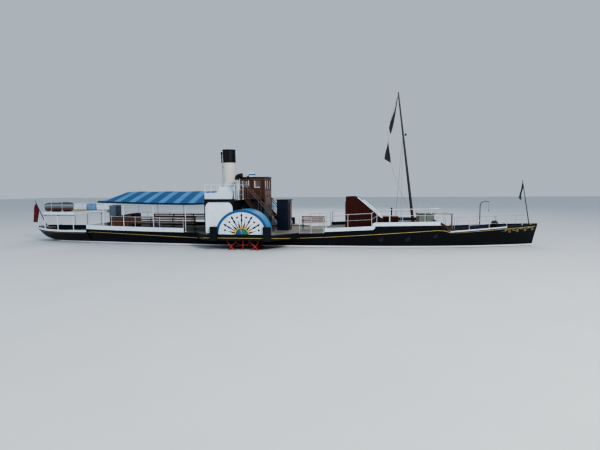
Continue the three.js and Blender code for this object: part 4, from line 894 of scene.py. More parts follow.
def paddle_wheel(name, side):
    """Two round rims, arms and bolted boards, 8 of each, on a hub."""
    x0, z0 = AXLE
    parts = []
    for place in WHEEL_RIMS:
        spot = (x0, side * place, z0)
        for radius, r, steps in ((1.02, 0.03, 65), (0.62, 0.016, 49)):
            parts.append(ring_bar(spot, 1, radius, r, 0, steps, 8))
        flank = [(0.21, 0.05), (0.23, 0.02)]
        plate = [(0.093, -0.05)] + [(r, -h) for r, h in flank] + flank[::-1] + [(0.093, 0.05), (0.093, -0.05)]
        parts.append(lathe(plate, spot, 1, 1))
    hub_tube = [(0.093, -0.62), (0.16, -0.62), (0.16, 0.62), (0.093, 0.62), (0.093, -0.62)]
    parts.append(lathe(hub_tube, (x0, side * 3.42, z0), 1, 1))
    for k in range(BOARDS):
        a = 2 * np.pi * k / BOARDS
        ray, across = np.array([math.cos(a), 0, math.sin(a)]), np.array([-math.sin(a), 0, math.cos(a)])
        hub = np.array([x0, 0, z0])
        for place in WHEEL_RIMS:
            arm = [hub + r * ray + (0, side * place, 0) for r in (0.18, 1.26)]
            parts.append(tube(arm, [0.035, 0.024], 0, 6))
        rows = []
        for v in (2.775, 4.065):
            corners = ((0.92, -0.02), (1.288, -0.02), (1.288, 0.02), (0.92, 0.02))
            rows.append([hub + r * ray + w * across + (0, side * v, 0) for r, w in corners])
        parts.append(grid(rows, 0))
        for v in (2.9, 3.4, 3.95):
            for r in (0.99, 1.22):
                spot = hub + r * ray + (0, side * v, 0)
                parts.append(tube([spot - 0.032 * across, spot + 0.032 * across], 0.014, 1, 6))
    piece(
        f"wheel_boards_and_rims_{name}", parts, [RED, IRON], body="paddle_wheels",
        stands_for=[f"paddle_wheel_{name}"],
    )


def frame_round(x0, x1, z0, z1, y, width=0.035, depth=0.018, material=0):
    """Moulding round an opening in a wall that faces along Y."""
    side = 1 if y > 0 else -1
    out = y + side * depth
    return [
        block(x0 - width, x1 + width, y, out, z1, z1 + width, material),
        block(x0 - width, x1 + width, y, out, z0 - width, z0, material),
        block(x0 - width, x0, y, out, z0, z1, material), block(x1, x1 + width, y, out, z0, z1, material),
    ]


def frame_across(y0, y1, z0, z1, x, out, width=0.035, material=0):
    """Moulding round an opening in a wall that faces along X, standing out from x to out."""
    a, b = sorted((x, out))
    return [
        block(a, b, y0 - width, y1 + width, z1, z1 + width, material),
        block(a, b, y0 - width, y1 + width, z0 - width, z0, material),
        block(a, b, y0 - width, y0, z0, z1, material), block(a, b, y1, y1 + width, z0, z1, material),
    ]


def spandrel(x, z, r, way, y0, y1, material=0):
    """Corner piece: a square of side r less a quarter round, under z and towards way from x."""
    a = np.linspace(0, np.pi / 2, 14)
    curve = [(x + way * (r - r * math.sin(k)), z - r + r * math.cos(k)) for k in a]
    return prism([(x, z)] + curve, 1, min(y0, y1), max(y0, y1), material)


def sponson_house_trim(name, side):
    """Black edges with rounded corners, corner post, toe board and door frame of one sponson house."""
    # The black strip along the top and the rounded corner pieces stand partly for the roof's edge and partly
    # for painted shadow under it.
    parts = [
        spandrel(-2.622, 2.85, 0.4, 1, side * 4.19, side * 4.212),
        spandrel(-0.968, 2.85, 0.4, -1, side * 4.19, side * 4.212),
    ]
    parts += [block(-0.972, -0.962, side * 2.77, side * 4.205, 2.3, 2.849, 0)]
    parts += [
        block(-2.645, -0.95, side * 4.17, side * 4.215, 2.8, 2.8499),
        block(-2.635, -2.62, side * 4.1, side * 4.213, 0.93, 2.84, 0),
    ]
    parts += [
        block(-2.6, -1.95, side * 4.2, side * 4.209, 0.93, 1.0, 0),
        tube([(-2.665, side * 4.16, 0.9 + GAP), (-2.665, side * 4.16, 2.849)], 0.032, 0, 12),
    ]
    parts += frame_across(*sorted((side * 3.185, side * 3.715)), 1.0, 2.62, -2.6205, -2.626, 0.012, 1)
    piece(f"sponson_house_edges_{name}", parts, [BLACK, TEAK])


def door_trim(name, x, out, y0, y1, z0, z1, hinge):
    """Raised panels, knob and hinge straps on the outer face of a hinged leaf."""
    parts = []
    low, high = sorted((y0, y1))
    middle = (z0 + z1) / 2
    for a, b in ((z0 + 0.1, middle - 0.05), (middle + 0.05, z1 - 0.1)):
        parts += frame_across(low + 0.12, high - 0.12, a + 0.03, b - 0.03, x, x + out * 0.012, 0.03, 0)
        parts.append(block(*sorted((x, x + out * 0.008)), low + 0.17, high - 0.17, a + 0.08, b - 0.08, 0))
    free, way = (low, -1) if abs(hinge - high) < abs(hinge - low) else (high, 1)
    knob_y = free - way * 0.06
    parts.append(ball((x + out * 0.035, knob_y, middle), 0.022, 1))
    parts.append(tube([(x, knob_y, middle), (x + out * 0.03, knob_y, middle)], 0.01, 1, 8))
    for z in (z0 + 0.16, z1 - 0.16):
        strap = sorted((hinge + way * 0.02, hinge + way * 0.3))
        parts.append(block(*sorted((x, x + out * 0.006)), *strap, z - 0.02, z + 0.02, 1))
    piece(f"{name}_fittings", parts, [TEAK, BRASS], body=name)


def bridge_deck():
    """Deck plate in the shape of a cross with the wheelhouse let in, a rounded edge and two cowl vents."""
    half = [
        (-3.6, 1.4), (-2.72, 1.4), (-2.72, 4.08), (-0.85, 4.08), (-0.85, 1.4), (0.25, 1.4),
        (0.25, HOUSE_WALL + GAP), (-1.43 - GAP, HOUSE_WALL + GAP),
    ]
    outline = half + [(x, -y) for x, y in half[::-1]]
    parts = [prism(outline, 2, 2.85 + GAP, BRIDGE_TOP, 0)]
    for side in (1, -1):
        rim = [(0.25, side * 0.97, 2.89)] + [(x, side * y, 2.89) for x, y in half[5::-1]]
        parts.append(tube(rim, 0.022, 1, 8))
    for _, side in SIDES:
        x, y = -1.53, side * 1.31
        parts.append(lathe(
            capped([(0.17, 0), (0.17, 0.015), (0.12, 0.035), (0.115, 1.3)]), (x, y, BRIDGE_TOP), 2, 5, 28,
        ))
        bend = [
            (x, y, 4.17), (x, y, 4.26), (x + 0.02, y, 4.35), (x + 0.1, y, 4.405), (x + 0.22, y, 4.415),
            (x + 0.33, y, 4.42),
        ]
        parts.append(tube(bend, [0.155, 0.155, 0.15, 0.145, 0.15, 0.168], 3, 28))
        parts.append(ring_bar((x + 0.33, y, 4.42), 0, 0.158, 0.014, 3, steps=33, sides=8))
        parts.append(lathe(capped([(0.14, 0), (0.14, 0.006)]), (x + 0.333, y, 4.42), 0, 4, 24))
        parts += [tube([(-2.3, side * 3.95, 2.84), (-2.3, side * 3.6, 2.84)], 0.01, 1, 6)]
        parts += [block(-2.72, -0.85, side * 4.063, side * 4.08, BRIDGE_TOP, 2.99, 1)]
        parts += [block(-2.72, -2.705, side * 1.42, side * 4.07, BRIDGE_TOP, 2.99, 1)]
    piece(
        "bridge_deck_and_vents", parts, [BRIDGE, BLACK, WHITE, BLACK, IRON, GREY_RAIL],
        stands_for=["bridge_deck"],
    )


def bridge_rails(name, side):
    """Stanchions with wires and a slender handrail round one wing."""
    plan = [
        (-0.89, 2.25), (-0.89, 3.15), (-0.89, 4.03), (-1.8, 4.03), (-2.68, 4.03), (-2.68, 3.0), (-2.68, 1.95),
        (-2.68, 1.35),
    ]
    points = [(x, side * v, BRIDGE_TOP + GAP) for x, v in plan]
    parts = posts_and_rails(
        points, 0.89, [(0.89, 0.014), (0.6, 0.007), (0.3, 0.007)], 0.015, material=0, knob=False,
    )
    piece(f"bridge_rails_{name}", parts, [WHITE], stands_for=[f"bridge_rail_{name}"])


LACING = 0.4  # pitch of the lacings of a canvas screen


def dodger(name, side):
    """Canvas screen, slack between lacings 0.4 m apart: y = 4.0545 + 6 mm sin(pi t) cos^2(2 pi x / 0.4),
    where t runs up the sheet, and its upper hem dips 8 mm |sin(pi x / 0.4)|."""
    xs, zs = np.linspace(-2.7, -1.1, 81), np.linspace(2.952, 3.358, 25)
    rows = []
    for z in zs:
        sag, dip = 0.006 * math.sin(math.pi * (z - zs[0]) / (zs[-1] - zs[0])), 0.008 * (z > 3.33)
        row = []
        for x in xs:
            bay = np.pi * x / LACING
            row.append((x, side * (4.0545 + sag * math.cos(2 * bay) ** 2), z - dip * abs(math.sin(bay))))
        rows.append(row)
    front = np.array(rows)
    back = front - (0, side * 0.0012, 0)
    stands_for = [f"bridge_dodger_{name}"]
    sheet = piece(
        f"bridge_screen_{name}", [shell_of(front, back)], [CANVAS], stands_for=stands_for,
        smooth=60,
    )


def shell_of(front, back, material=0):
    """Thin closed sheet between two grids of the same shape."""
    n, m = front.shape[:2]
    rows = [np.concatenate([front[i], back[i][::-1]]) for i in range(n)]
    points, faces, which = grid(rows, material, caps=False)
    for row in (0, n - 1):
        base = row * 2 * m
        for j in range(m - 1):
            faces.append([base + j, base + j + 1, base + 2 * m - 2 - j, base + 2 * m - 1 - j])
            which.append(material)
    return points, faces, which


def stair(foot, head, y0, y1, count, materials=(0, 0), rail=0.9, r=0.027):
    """Ladder stair: board stringers, treads and turned handrails on stanchions."""
    foot, head = np.array(foot, float), np.array(head, float)
    run = (head - foot) / np.linalg.norm(head - foot)
    across = np.array([-run[1], run[0]])
    stops = (foot, foot + 0.5 * (head - foot), head)
    parts = []
    for y in (y0, y1):
        board = [foot + 0.075 * across, head + 0.075 * across, head - 0.075 * across, foot - 0.075 * across]
        parts.append(prism(board, 1, y - 0.02, y + 0.02, materials[0]))
        top = [(p[0], y, p[1] + rail) for p in stops]
        parts.append(tube(top, r, materials[1], 12))
        parts += [ball(p, r * 1.2, materials[1], 10) for p in (top[0], top[-1])]
        for p in stops:
            parts.append(tube([(p[0], y, p[1]), (p[0], y, p[1] + rail)], r * 0.7, materials[1], 8))
    for k in range(1, count + 1):
        x, z = foot + (head - foot) * k / (count + 1)
        parts.append(block(x - 0.09, x + 0.09, min(y0, y1), max(y0, y1), z - 0.015, z + 0.015, materials[0]))
        parts.append(block(
            x + 0.075, x + 0.092, min(y0, y1) + 0.03, max(y0, y1) - 0.03, z + 0.01, z + 0.019, 2,
        ))
    return parts


def ladders():
    """Two stairs to the bridge and one into the bow well, each on two feet."""
    for name, side in SIDES:
        # The stringers and treads take the stair wood that is darkened with painted shade.
        parts = stair((0.9, 0.96), (-0.79, 2.9), side * 1.48, side * 2.15, 7, (3, 0))
        parts += [
            block(0.84, 0.96, side * v - 0.025, side * v + 0.025, 0.87 + GAP, 0.98) for v in (1.48, 2.15)
        ]
        piece(
            f"bridge_stair_{name}", parts, [RAIL_WOOD, RAIL_WOOD, BRASS, SHADED_STAIR_WOOD],
            stands_for=[f"bridge_ladder_{name}"], bevel=0.004,
        )
    parts = stair((12.25, 0.85), (11.12, 1.44), 0.26, 0.9, 3, (0, 1), r=0.018)
    parts += [block(12.19, 12.31, v - 0.025, v + 0.025, BOW_FLOOR + GAP, 0.87) for v in (0.26, 0.9)]
    piece("bow_stair", parts, [DARK_WOOD, GREY_RAIL, BRASS], stands_for=["bow_ladder"], bevel=0.004)


def funnel():
    """Leaning stack with hoops, a seam, a hollow mouth and the steam pipe beside it."""
    base, top, lean, radius, middle = 3.75, 6.2, -0.06, 0.425, -2.4
    profile = [(0.36, 4.06), (0.455, base + GAP), (0.455, 3.81), (0.427, 3.825)]
    for z in (4.3, 4.8, 5.3, 5.8):
        profile += [(radius, z - 0.025), (0.434, z - 0.02), (0.434, z + 0.02), (radius, z + 0.025)]
    profile += [
        (radius, 6.12), (0.447, 6.135), (0.45, 6.17), (0.442, top), (0.4, top), (0.392, 4.06), (0.36, 4.06),
    ]
    points, faces, which = lathe(profile, (middle, 0, 0), 2, 0, 64)
    points[:, 0] += lean * (points[:, 2] - base) / (top - base)
    parts = [(points, faces, which)]
    x = middle - radius - 0.11
    parts.append(tube([(x, 0, 3.76), (x - 0.045, 0, 5.9)], 0.042, 0, 16))
    parts.append(tube([(x - 0.045, 0, 5.9), (x - 0.049, 0, 6.06)], [0.06, 0.066], 1, 16))
    parts += [block(x - 0.03, -2.8, -0.02, 0.02, z, z + 0.04, 0) for z in (4.3, 5.7)]
    parts += [flange((x, 0, 3.751), 0.09, 0.02, 0.045, 0.05, 1, 18)]
    parts.append(tube(
        [(x - 0.02, 0.0, 4.95), (x - 0.02, 0.14, 5.0), (x - 0.02, 0.14, 5.12)], [0.018, 0.018, 0.034], 2, 12,
    ))
    piece("funnel_stack", parts, [CREAM_FUNNEL, BLACK, BRASS], stands_for=["funnel"])


def fiddley_trim():
    """Coaming round the sloped casing, battens across and along it, and a hand bar before it."""
    parts = [block(-3.11, -1.95, -1.16, 1.16, BRIDGE_TOP + 5e-4, 2.975, 0)]
    for k in range(1, 5):
        s = k / 5
        y, z, x = 1.15 + (0.47 - 1.15) * s, BRIDGE_TOP + 0.82 * s, -3.1 + 0.1 * s
        parts.append(tube([(x, y, z), (x, -y, z)], 0.012, 0, 8))
        for _, side in SIDES:
            parts.append(tube([(x, side * y, z), (-1.96, side * y, z)], 0.012, 0, 8))
    parts += [tube([(-1.95, -0.9, 3.25), (-1.95, 0.9, 3.25)], 0.014, 1, 8)]
    piece("fiddley_battens", parts, [WHITE, GREY_RAIL])


def wheelhouse_trim():
    """Frames, corner beads, rails, panes and upright grab rails. What lies on the way of a sliding leaf
    stands out less than the 6 mm between wall and leaf."""
    glazed, wood_parts, brass = [], [], []
    for _, side in SIDES:
        y = side * HOUSE_WALL
        wood_parts += frame_round(-1.35, -0.85, 3.7, 4.12, y, 0.035, 0.004)
        glazed.append(block(-1.36, -0.84, side * 0.925, side * 0.931, 3.69, 4.13))
        wood_parts.append(block(-0.895, -0.85, side * 0.93, side * 0.9535, 3.7, 4.12, 1))
        for x in (-1.43, 0.19):
            wood_parts.append(tube([(x, y, 2.36), (x, y, 4.295)], 0.022, 0, 8))
        wood_parts += [block(-1.43, 0.19, y, side * 0.962, z, z + 0.05) for z in (4.175, 4.249)]
        wood_parts += [block(-1.43, -0.66, y, side * 0.954, z, z + 0.04) for z in (2.96, 3.5)]
        brass.append(tube([(-1.33, side * 0.99, 3.05), (-1.33, side * 0.99, 3.45)], 0.012, 0, 8))
        brass += [
            tube([(-1.33, side * HOUSE_WALL, z), (-1.33, side * 0.99, z)], 0.01, 0, 8) for z in (3.07, 3.43)
        ]
    for y in (-0.86, -0.27, 0.32):
        wood_parts += frame_across(y, y + 0.54, 3.56, 4.12, 0.19, 0.206, 0.025)
        glazed.append(block(0.165, 0.171, y - 0.01, y + 0.55, 3.55, 4.13))
        wood_parts += [block(0.19, 0.198, y + 0.02, y + 0.52, *span) for span in ((3.15, 3.46), (2.5, 3.05))]
    for y in (-0.76, 0.24):
        wood_parts += frame_across(y, y + 0.52, 3.64, 4.12, -1.43, -1.446, 0.03)
        glazed.append(block(-1.411, -1.405, y - 0.01, y + 0.53, 3.63, 4.13))
    piece("wheelhouse_mouldings", wood_parts, [TEAK, CREAM_SASH], bevel=0.003)
    piece("wheelhouse_panes", glazed, [WINDOW])
    piece("wheelhouse_brightwork", brass, [BRASS])


def wheelhouse_roof():
    """Roof cambered by 45 mm across with a rounded edge, and the lamp box with its blue band."""
    ys = np.linspace(-1.08, 1.08, 25)
    camber = 4.335 + 0.045 * (1 - (ys / 1.08) ** 2)
    rows = []
    for x, drop, inset in (
        (-1.6, 0.02, 0.01), (-1.585, 0.004, 0.003), (-1.55, 0, 0), (-0.6, 0, 0), (0.22, 0, 0),
        (0.255, 0.004, 0.003), (0.27, 0.02, 0.01),
    ):
        top = [(x, y * (1 - inset), z - drop) for y, z in zip(ys, camber)]
        rows.append(top + [(x, 1.075, 4.3 + GAP), (x, -1.075, 4.3 + GAP)])
    parts = [grid(rows, 0)]
    parts += [
        block(-1.04, -0.7, -0.17, 0.17, 4.37, 4.71, 1), block(-1.05, -0.69, -0.18, 0.18, 4.69, 4.719, 1),
    ]
    parts += [
        block(-1.048, -0.692, -0.178, 0.178, 4.49, 4.57, 2), block(-1.05, -0.69, -0.18, 0.18, 4.37, 4.4, 1),
    ]
    piece(
        "wheelhouse_roof_and_lamp", parts, [BLACK, WHITE, RIM_BLUE], stands_for=["wheelhouse_roof"],
        bevel=0.004,
    )


LEAF_FACE = 0.988  # outer face of a sliding leaf, from the middle line


def sliding_doors():
    """Frame, battens, pane, sash and handle of each sliding leaf."""
    for name, side in SIDES:
        y = side * LEAF_FACE
        parts = frame_round(-0.49, -0.11, 3.66, 4.1, y, 0.03, 0.012)
        parts += [block(-0.56, -0.04, y, side * 0.996, a, b) for a, b in ((3.02, 3.06), (3.54, 3.58))]
        parts += [block(a, b, y, side * 0.996, 3.02, 3.58) for a, b in ((-0.58, -0.53), (-0.07, -0.02))]
        parts.append(block(-0.495, -0.105, side * 0.967, side * 0.973, 3.655, 4.105, 2))
        parts += [
            block(-0.49, -0.445, side * 0.97, side * 0.99, 3.66, 4.1, 3),
            block(-0.45, -0.11, side * 0.97, side * 0.99, 3.66, 3.705, 3),
        ]
        parts.append(tube(
            [(-0.03, y, 3.35), (-0.03, side * 1.015, 3.37), (-0.03, side * 1.015, 3.47), (-0.03, y, 3.49)],
            0.009, 1, 8,
        ))
        piece(
            f"sliding_door_fittings_{name}", parts, [TEAK, BRASS, WINDOW, CREAM_SASH],
            body=f"wheelhouse_door_{name}",
        )


def helm():
    """Turned steering wheel: rim, brass hub and six spokes with swelling handles."""
    c = (-0.048, 0, 3.23)
    parts = [
        ring_bar(c, 0, 0.3, 0.024, 0, steps=49, sides=10),
        ring_bar((-0.07, 0, 3.23), 0, 0.3, 0.008, 1, steps=49, sides=6),
    ]
    boss = [(ON_AXIS, -0.032), (0.06, -0.03), (0.065, -0.01), (0.065, 0.02), (0.06, 0.038), (ON_AXIS, 0.038)]
    parts.append(lathe(boss, c, 0, 1, 24))
    parts.append(tube([(-0.02, 0, 3.23), (0.085, 0, 3.23)], 0.024, 1, 16))
    for k in range(6):
        a = math.pi * k / 3
        out = np.array([0, math.cos(a), math.sin(a)])
        r = [0.04, 0.1, 0.2, 0.27, 0.33, 0.36, 0.4, 0.428]
        w = [0.015, 0.012, 0.018, 0.013, 0.012, 0.017, 0.014, 0.008]
        parts.append(tube([np.array(c) + d * out for d in r], w, 0, 10))
    piece("helm_wheel_turned", parts, [TEAK, BRASS], body="helm", stands_for=["helm_wheel"])


def fore_hood():
    """Companion of boards under one curved roof, hollow, with a doorway aft, and the deck box before it."""
    roof = np.array([
        (5.4, 3.06), (5.7, 3.077), (5.97, 3.076), (6.14, 3.03), (6.31, 2.94), (7.54, 1.958), (7.62, 1.87),
        (7.7, 1.788),
    ])
    under = roof - [(0, 0.028)]
    foot = [(7.7, 1.3504), (7.16, 1.3434), (7.12, 1.345), (7.12, on_deck(7.12)), (5.4, on_deck(5.4))]
    wall = list(map(tuple, under)) + foot
    parts = [prism(wall, 1, side * 0.71, side * 0.748, 0) for _, side in SIDES]
    parts.append(grid([[(x, y, z) for x, z in list(roof) + list(under[::-1])] for y in (-0.75, 0.75)], 1))
    parts += [block(5.402, 5.44, *span, on_deck(5.4), 3.04, 0) for span in ((-0.71, -0.46), (0.46, 0.71))]
    parts += [block(5.402, 5.44, -0.46, 0.46, 2.72, 3.04, 0), block(7.66, 7.698, -0.71, 0.71, 1.35, 1.79, 0)]
    parts += frame_across(-0.46, 0.46, 1.16, 2.72, 5.402, 5.396, 0.03, 3)
    for _, side in SIDES:
        slope = roof[3:]
        flat = [tuple(p) for p in roof[:4]] + [(x, z - 0.06) for x, z in roof[3::-1]]
        parts += [prism(flat, 1, side * 0.745, side * 0.75, 1)]
        low = [(x, z - w) for (x, z), w in zip(slope, (0.06, 0.1, 0.17, 0.15, 0.1))]
        parts += [prism([tuple(p) for p in slope] + low[::-1], 1, side * 0.745, side * 0.753, 2)]
        parts += [tube([(6.5, side * 0.72, 2.83), (7.5, side * 0.72, 2.03)], 0.02, 2, 8)]
        parts.append(prism(
            [(6.95, 2.41), (7.56, 1.925), (7.6, 1.96), (6.99, 2.45)], 1, side * 0.6, side * 0.66, 2,
        ))
    for x0, x1 in ((7.72, 8.18), (8.22, 8.68)):
        parts += [block(x0, x1, side * 0.5, side * 0.492, 1.44, 1.74, 0) for _, side in SIDES]
    parts += [block(7.7, 8.7, -0.49, 0.49, 1.353, 1.77, 4), block(7.69, 8.7, -0.5, 0.5, 1.765, 1.8, 3)]
    piece(
        "fore_companion_shell", parts, [RED_WOOD, NAVY, WHITE, TEAK, DARK_WOOD], stands_for=["fore_hood"],
        bevel=0.003,
    )


def hatch_trim():
    """Corner posts, panel frames and grab rails of the hatch house."""
    parts, rails = [], []
    for _, side in SIDES:
        y = side * 0.7
        parts += [block(x0, x1, y, side * 0.712, 0.9, 2.82) for x0, x1 in ((0.93, 0.99), (1.61, 1.67))]
        parts += [block(0.99, 1.61, y, side * 0.71, z, z + 0.06) for z in (0.9, 1.85, 2.76)]
        rails.append(tube([(1.05, side * 0.74, 2.2), (1.55, side * 0.74, 2.2)], 0.014, 0, 8))
        rails += [tube([(x, y, 2.2), (x, side * 0.74, 2.2)], 0.01, 0, 8) for x in (1.1, 1.5)]
    parts += frame_across(-0.3, 0.3, 1.0, 2.64, 1.6702, 1.674, 0.03, 0)
    for y0 in (-0.64, 0.04):
        for z0, z1 in ((1.1, 1.8), (1.95, 2.65)):
            parts += frame_across(y0, y0 + 0.6, z0, z1, 0.93, 0.918, 0.03, 0)
    piece("hatch_house_mouldings", parts, [NAVY], bevel=0.003)
    piece("hatch_house_grab_rails", rails, [IRON])


def aft_hatch_trim():
    """Sliding lid, runners and corner posts on the aft companion."""
    parts = []
    for _, side in SIDES:
        parts.append(prism(
            [(-10.9, 1.6), (-9.42, 1.9), (-9.42, 1.93), (-10.9, 1.63)], 1, side * 0.56, side * 0.62, 0,
        ))
        parts += [
            block(x, x + 0.07, side * 0.65, side * 0.662, 0.99, z) for x, z in ((-10.9, 1.59), (-9.37, 1.88))
        ]
        parts += [
            block(-10.83, -9.37, side * 0.65, side * 0.66, 1.0, 1.07),
            block(-10.13, -10.07, side * 0.65, side * 0.66, 1.07, 1.7),
        ]
    parts += [prism([(-10.2, 1.743), (-9.5, 1.885), (-9.5, 1.925), (-10.2, 1.783)], 1, -0.55, 0.55, 1)]
    parts += frame_across(-0.38, 0.38, 1.05, 1.8, -9.3, -9.296, 0.03, 0)
    piece("aft_companion_trim", parts, [TEAK, MAHOGANY], bevel=0.003)


def skylight():
    """Skylight box with framed pale panels, a hinged lid on each slope and a plank out to the break."""
    low = [(x, on_deck(x)) for x in (10.85, 9.9)]
    parts = [prism([(9.9, 1.92), (10.85, 1.92)] + low, 1, -0.54, 0.54, 0)]
    for _, side in SIDES:
        parts += [block(9.9, 10.85, side * 0.54, side * 0.55, z, z + 0.05, 1) for z in (1.4, 1.87)]
        parts += [block(x, x + 0.05, side * 0.54, side * 0.55, 1.45, 1.87, 1) for x in (9.9, 10.35, 10.8)]
        parts += [block(x, x + 0.43, side * 0.05, side * 0.56, 1.978, 1.986, 2) for x in (9.93, 10.4)]
    parts += [block(9.85, 10.9, -0.6, 0.6, 1.92, 1.98, 1), block(9.85, 12.0, -0.62, -0.38, 1.981, 1.99, 3)]
    parts += [
        block(10.9, 12.0, -0.62, -0.38, 1.93, 1.985, 3),
        block(11.9, 11.96, -0.53, -0.47, BOW_FLOOR + GAP, 1.94, 1),
    ]
    piece(
        "fore_skylight_box", parts, [SKYLIGHT, DARK_WOOD, WINDOW, PLANK], stands_for=["fore_skylight"],
        bevel=0.003,
    )


# Arch of the awning: x, share of the ridge's rise, how far the eave is raised
AWNING_ARCH = np.array([
    (-10.56, 0.25, 0.15), (-10.38, 0.5, 0.14), (-10.32, 0.5, 0.14), (-10.18, 0.77, 0.13), (-9.9, 0.95, 0.12),
    (-9.5, 1, 0.11), (-8.89, 1, 0.09), (-8.83, 1, 0.09), (-6.83, 1, 0.03), (-6.77, 1, 0.03), (-4.7, 1, 0),
    (-4.2, 1, 0), (-3.28, 1, 0.03), (-3.22, 1, 0.03), (-3.17, 1, 0.05),
])
AWNING_POSTS = (-10.35, -8.86, -6.8, -4.64, -3.25)
AWNING_HALF, AWNING_EAVE, AWNING_RISE, AWNING_BOW = 2.5, 2.7, 0.75, 1.15


def awning_z(x, y):
    """Arch of the cloth: eave + raised + (rise lift - raised) (1 - |y / half|^bow)."""
    lift, raised = (np.interp(x, AWNING_ARCH[:, 0], AWNING_ARCH[:, k]) for k in (1, 2))
    arch = 1 - np.abs(y / AWNING_HALF) ** AWNING_BOW
    return AWNING_EAVE + raised + (AWNING_RISE * lift - raised) * arch


def awning():
    """One cloth over the arch, sagging by 16 mm sin^2 between rafters, with a hem that hangs
    at both eaves."""
    x = np.unique(np.concatenate([np.linspace(-10.56, -3.17, 220), AWNING_ARCH[:, 0]]))[:, None]
    y = np.linspace(-AWNING_HALF, AWNING_HALF, 81)[None]
    bay = np.interp(x, AWNING_POSTS, np.arange(5))
    sag = 0.016 * np.sin(np.pi * bay) ** 2 * (1 - np.abs(y / AWNING_HALF) ** 4)
    top = awning_z(x, y) - 0.004 - sag - 0.004 * np.sin(np.pi * bay) ** 2 * np.cos(9 * y) ** 2
    roof = np.stack(np.broadcast_arrays(x, y, top), -1)
    hem = []
    for side in (-1, 1):
        drop = np.linspace(0.11, 0.012, 6)[None, ::-side]
        ripple = 0.012 * np.sin(2 * np.pi * x / 0.23) * drop / 0.11
        out = side * (AWNING_HALF + 0.005 + ripple)
        hem.append(np.stack(np.broadcast_arrays(x, out, awning_z(x, side * AWNING_HALF) - drop), -1))
    front = np.concatenate([hem[0], roof, hem[1]], 1)
    back = front * (1, 0.999, 1) - (0, 0, 0.002)
    cover = piece(
        "awning_cover", [shell_of(front, back)], [AWNING], stands_for=["awning"],
        smooth=50,
    )


def awning_frame():
    """Round posts, an arched rafter over each pair and the ridge pole."""
    parts = []
    y = np.linspace(-2.44, 2.44, 41)
    for x in AWNING_POSTS:
        low = np.minimum(awning_z(x - 0.02, y), awning_z(x + 0.02, y)) - 0.055
        parts.append(tube(np.stack([np.full(len(y), x), y, low], 1), 0.022, 0, 10))
        out = min(2.38, float(edge(x)) - 0.105)
        for _, side in SIDES:
            head = float(np.interp(out, y, low))
            parts.append(tube([(x, side * out, on_deck(x)), (x, side * out, head)], 0.021, 0, 12))
            parts.append(flange((x, side * out, on_deck(x)), 0.055, 0.012, 0.03, 0.05, 0, 14))
    parts += [tube([(-10.35, 0, 3.0), (-9.51, 0, 3.385), (-3.25, 0, 3.385)], 0.02, 0, 10)]
    piece("awning_hoops", parts, [WHITE], stands_for=["awning_frame"])


def curve(points, count):
    """Smooth curve through the points: each stretch is a Hermite cubic with its neighbours'
    chord as slope."""
    p = np.asarray(points, float)
    step = np.linalg.norm(np.diff(p, axis=0), axis=1)
    at = np.concatenate([[0], np.cumsum(step)])
    slope = np.gradient(p, at, axis=0)
    s = np.linspace(0, at[-1], count)
    k = np.clip(np.searchsorted(at, s, "right") - 1, 0, len(p) - 2)
    t, h = ((s - at[k]) / step[k])[:, None], step[k][:, None]
    return hermite(t, p[k], p[k + 1], h * slope[k], h * slope[k + 1])


def mast():
    """Raked pole with bands and a truck, its lamp, the two shrouds and the signal halyard."""
    foot, head = np.array((9.65, 0, 1.375)), np.array((8.622, 0, 9.56))
    along = np.linspace(0, 1, 24)[:, None]
    parts = [tube(foot + (head - foot) * along, np.interp(along[:, 0], [0, 1], [0.094, 0.045]), 0, 20)]
    for share in (0.02, 0.12, 0.3, 0.68, 0.9):
        p = foot + (head - foot) * share
        parts.append(tube([p, p + (head - foot) * 0.006], np.interp(share, [0, 1], [0.1, 0.05]), 1, 20))
    parts += [
        ball(head, 0.024, 1),
        lathe(capped([(0.16, 0), (0.15, 0.05), (0.11, 0.1)]), (9.65, 0, 1.366), 2, 0, 24),
    ]
    parts += [
        block(8.93, 8.98, -0.03, 0.03, 6.89, 6.91, 1),
        lathe(capped([(0.07, 0), (0.06, 0.02), (0.06, 0.1), (0.03, 0.14)]), (9.11, 0, 6.87), 2, 2, 18),
    ]
    parts += [block(8.97, 9.11, -0.035, 0.035, 6.868, 6.885, 1)]
    piece("mast_pole_and_lamp", parts, [SPAR, IRON, BLACK], stands_for=["mast"])
    wires = []
    for _, side in SIDES:
        top, low = np.array((8.94, side * 0.05, 7.05)), np.array((8.7, side * 2.2, 1.57))
        wires += [
            tube([top, low], 0.008, 0, 8),
            tube([low + (top - low) * 0.01, low + (top - low) * 0.06], 0.017, 0, 8),
        ]
        wires += [flange((8.7, side * 2.2, 1.56), 0.05, 0.01, 0.02, 0.03, 0, 12)]
    piece("mast_shrouds", wires, [STEEL])
    lead = [(8.64, -0.045, 9.48), (8.2, -0.03, 8.0), (8.03, -0.02, 6.56)]
    lead += [(8.23, -0.02, 5.15), (8.75, -0.03, 3.6), (9.5, -0.08, 1.9)]
    line = curve(lead, 36)
    halyard = piece("signal_halyard", [tube(line, 0.007, 0, 8)], [ROPE])
    length = round(float(np.linalg.norm(np.diff(line, axis=0), axis=1).sum()), 2)


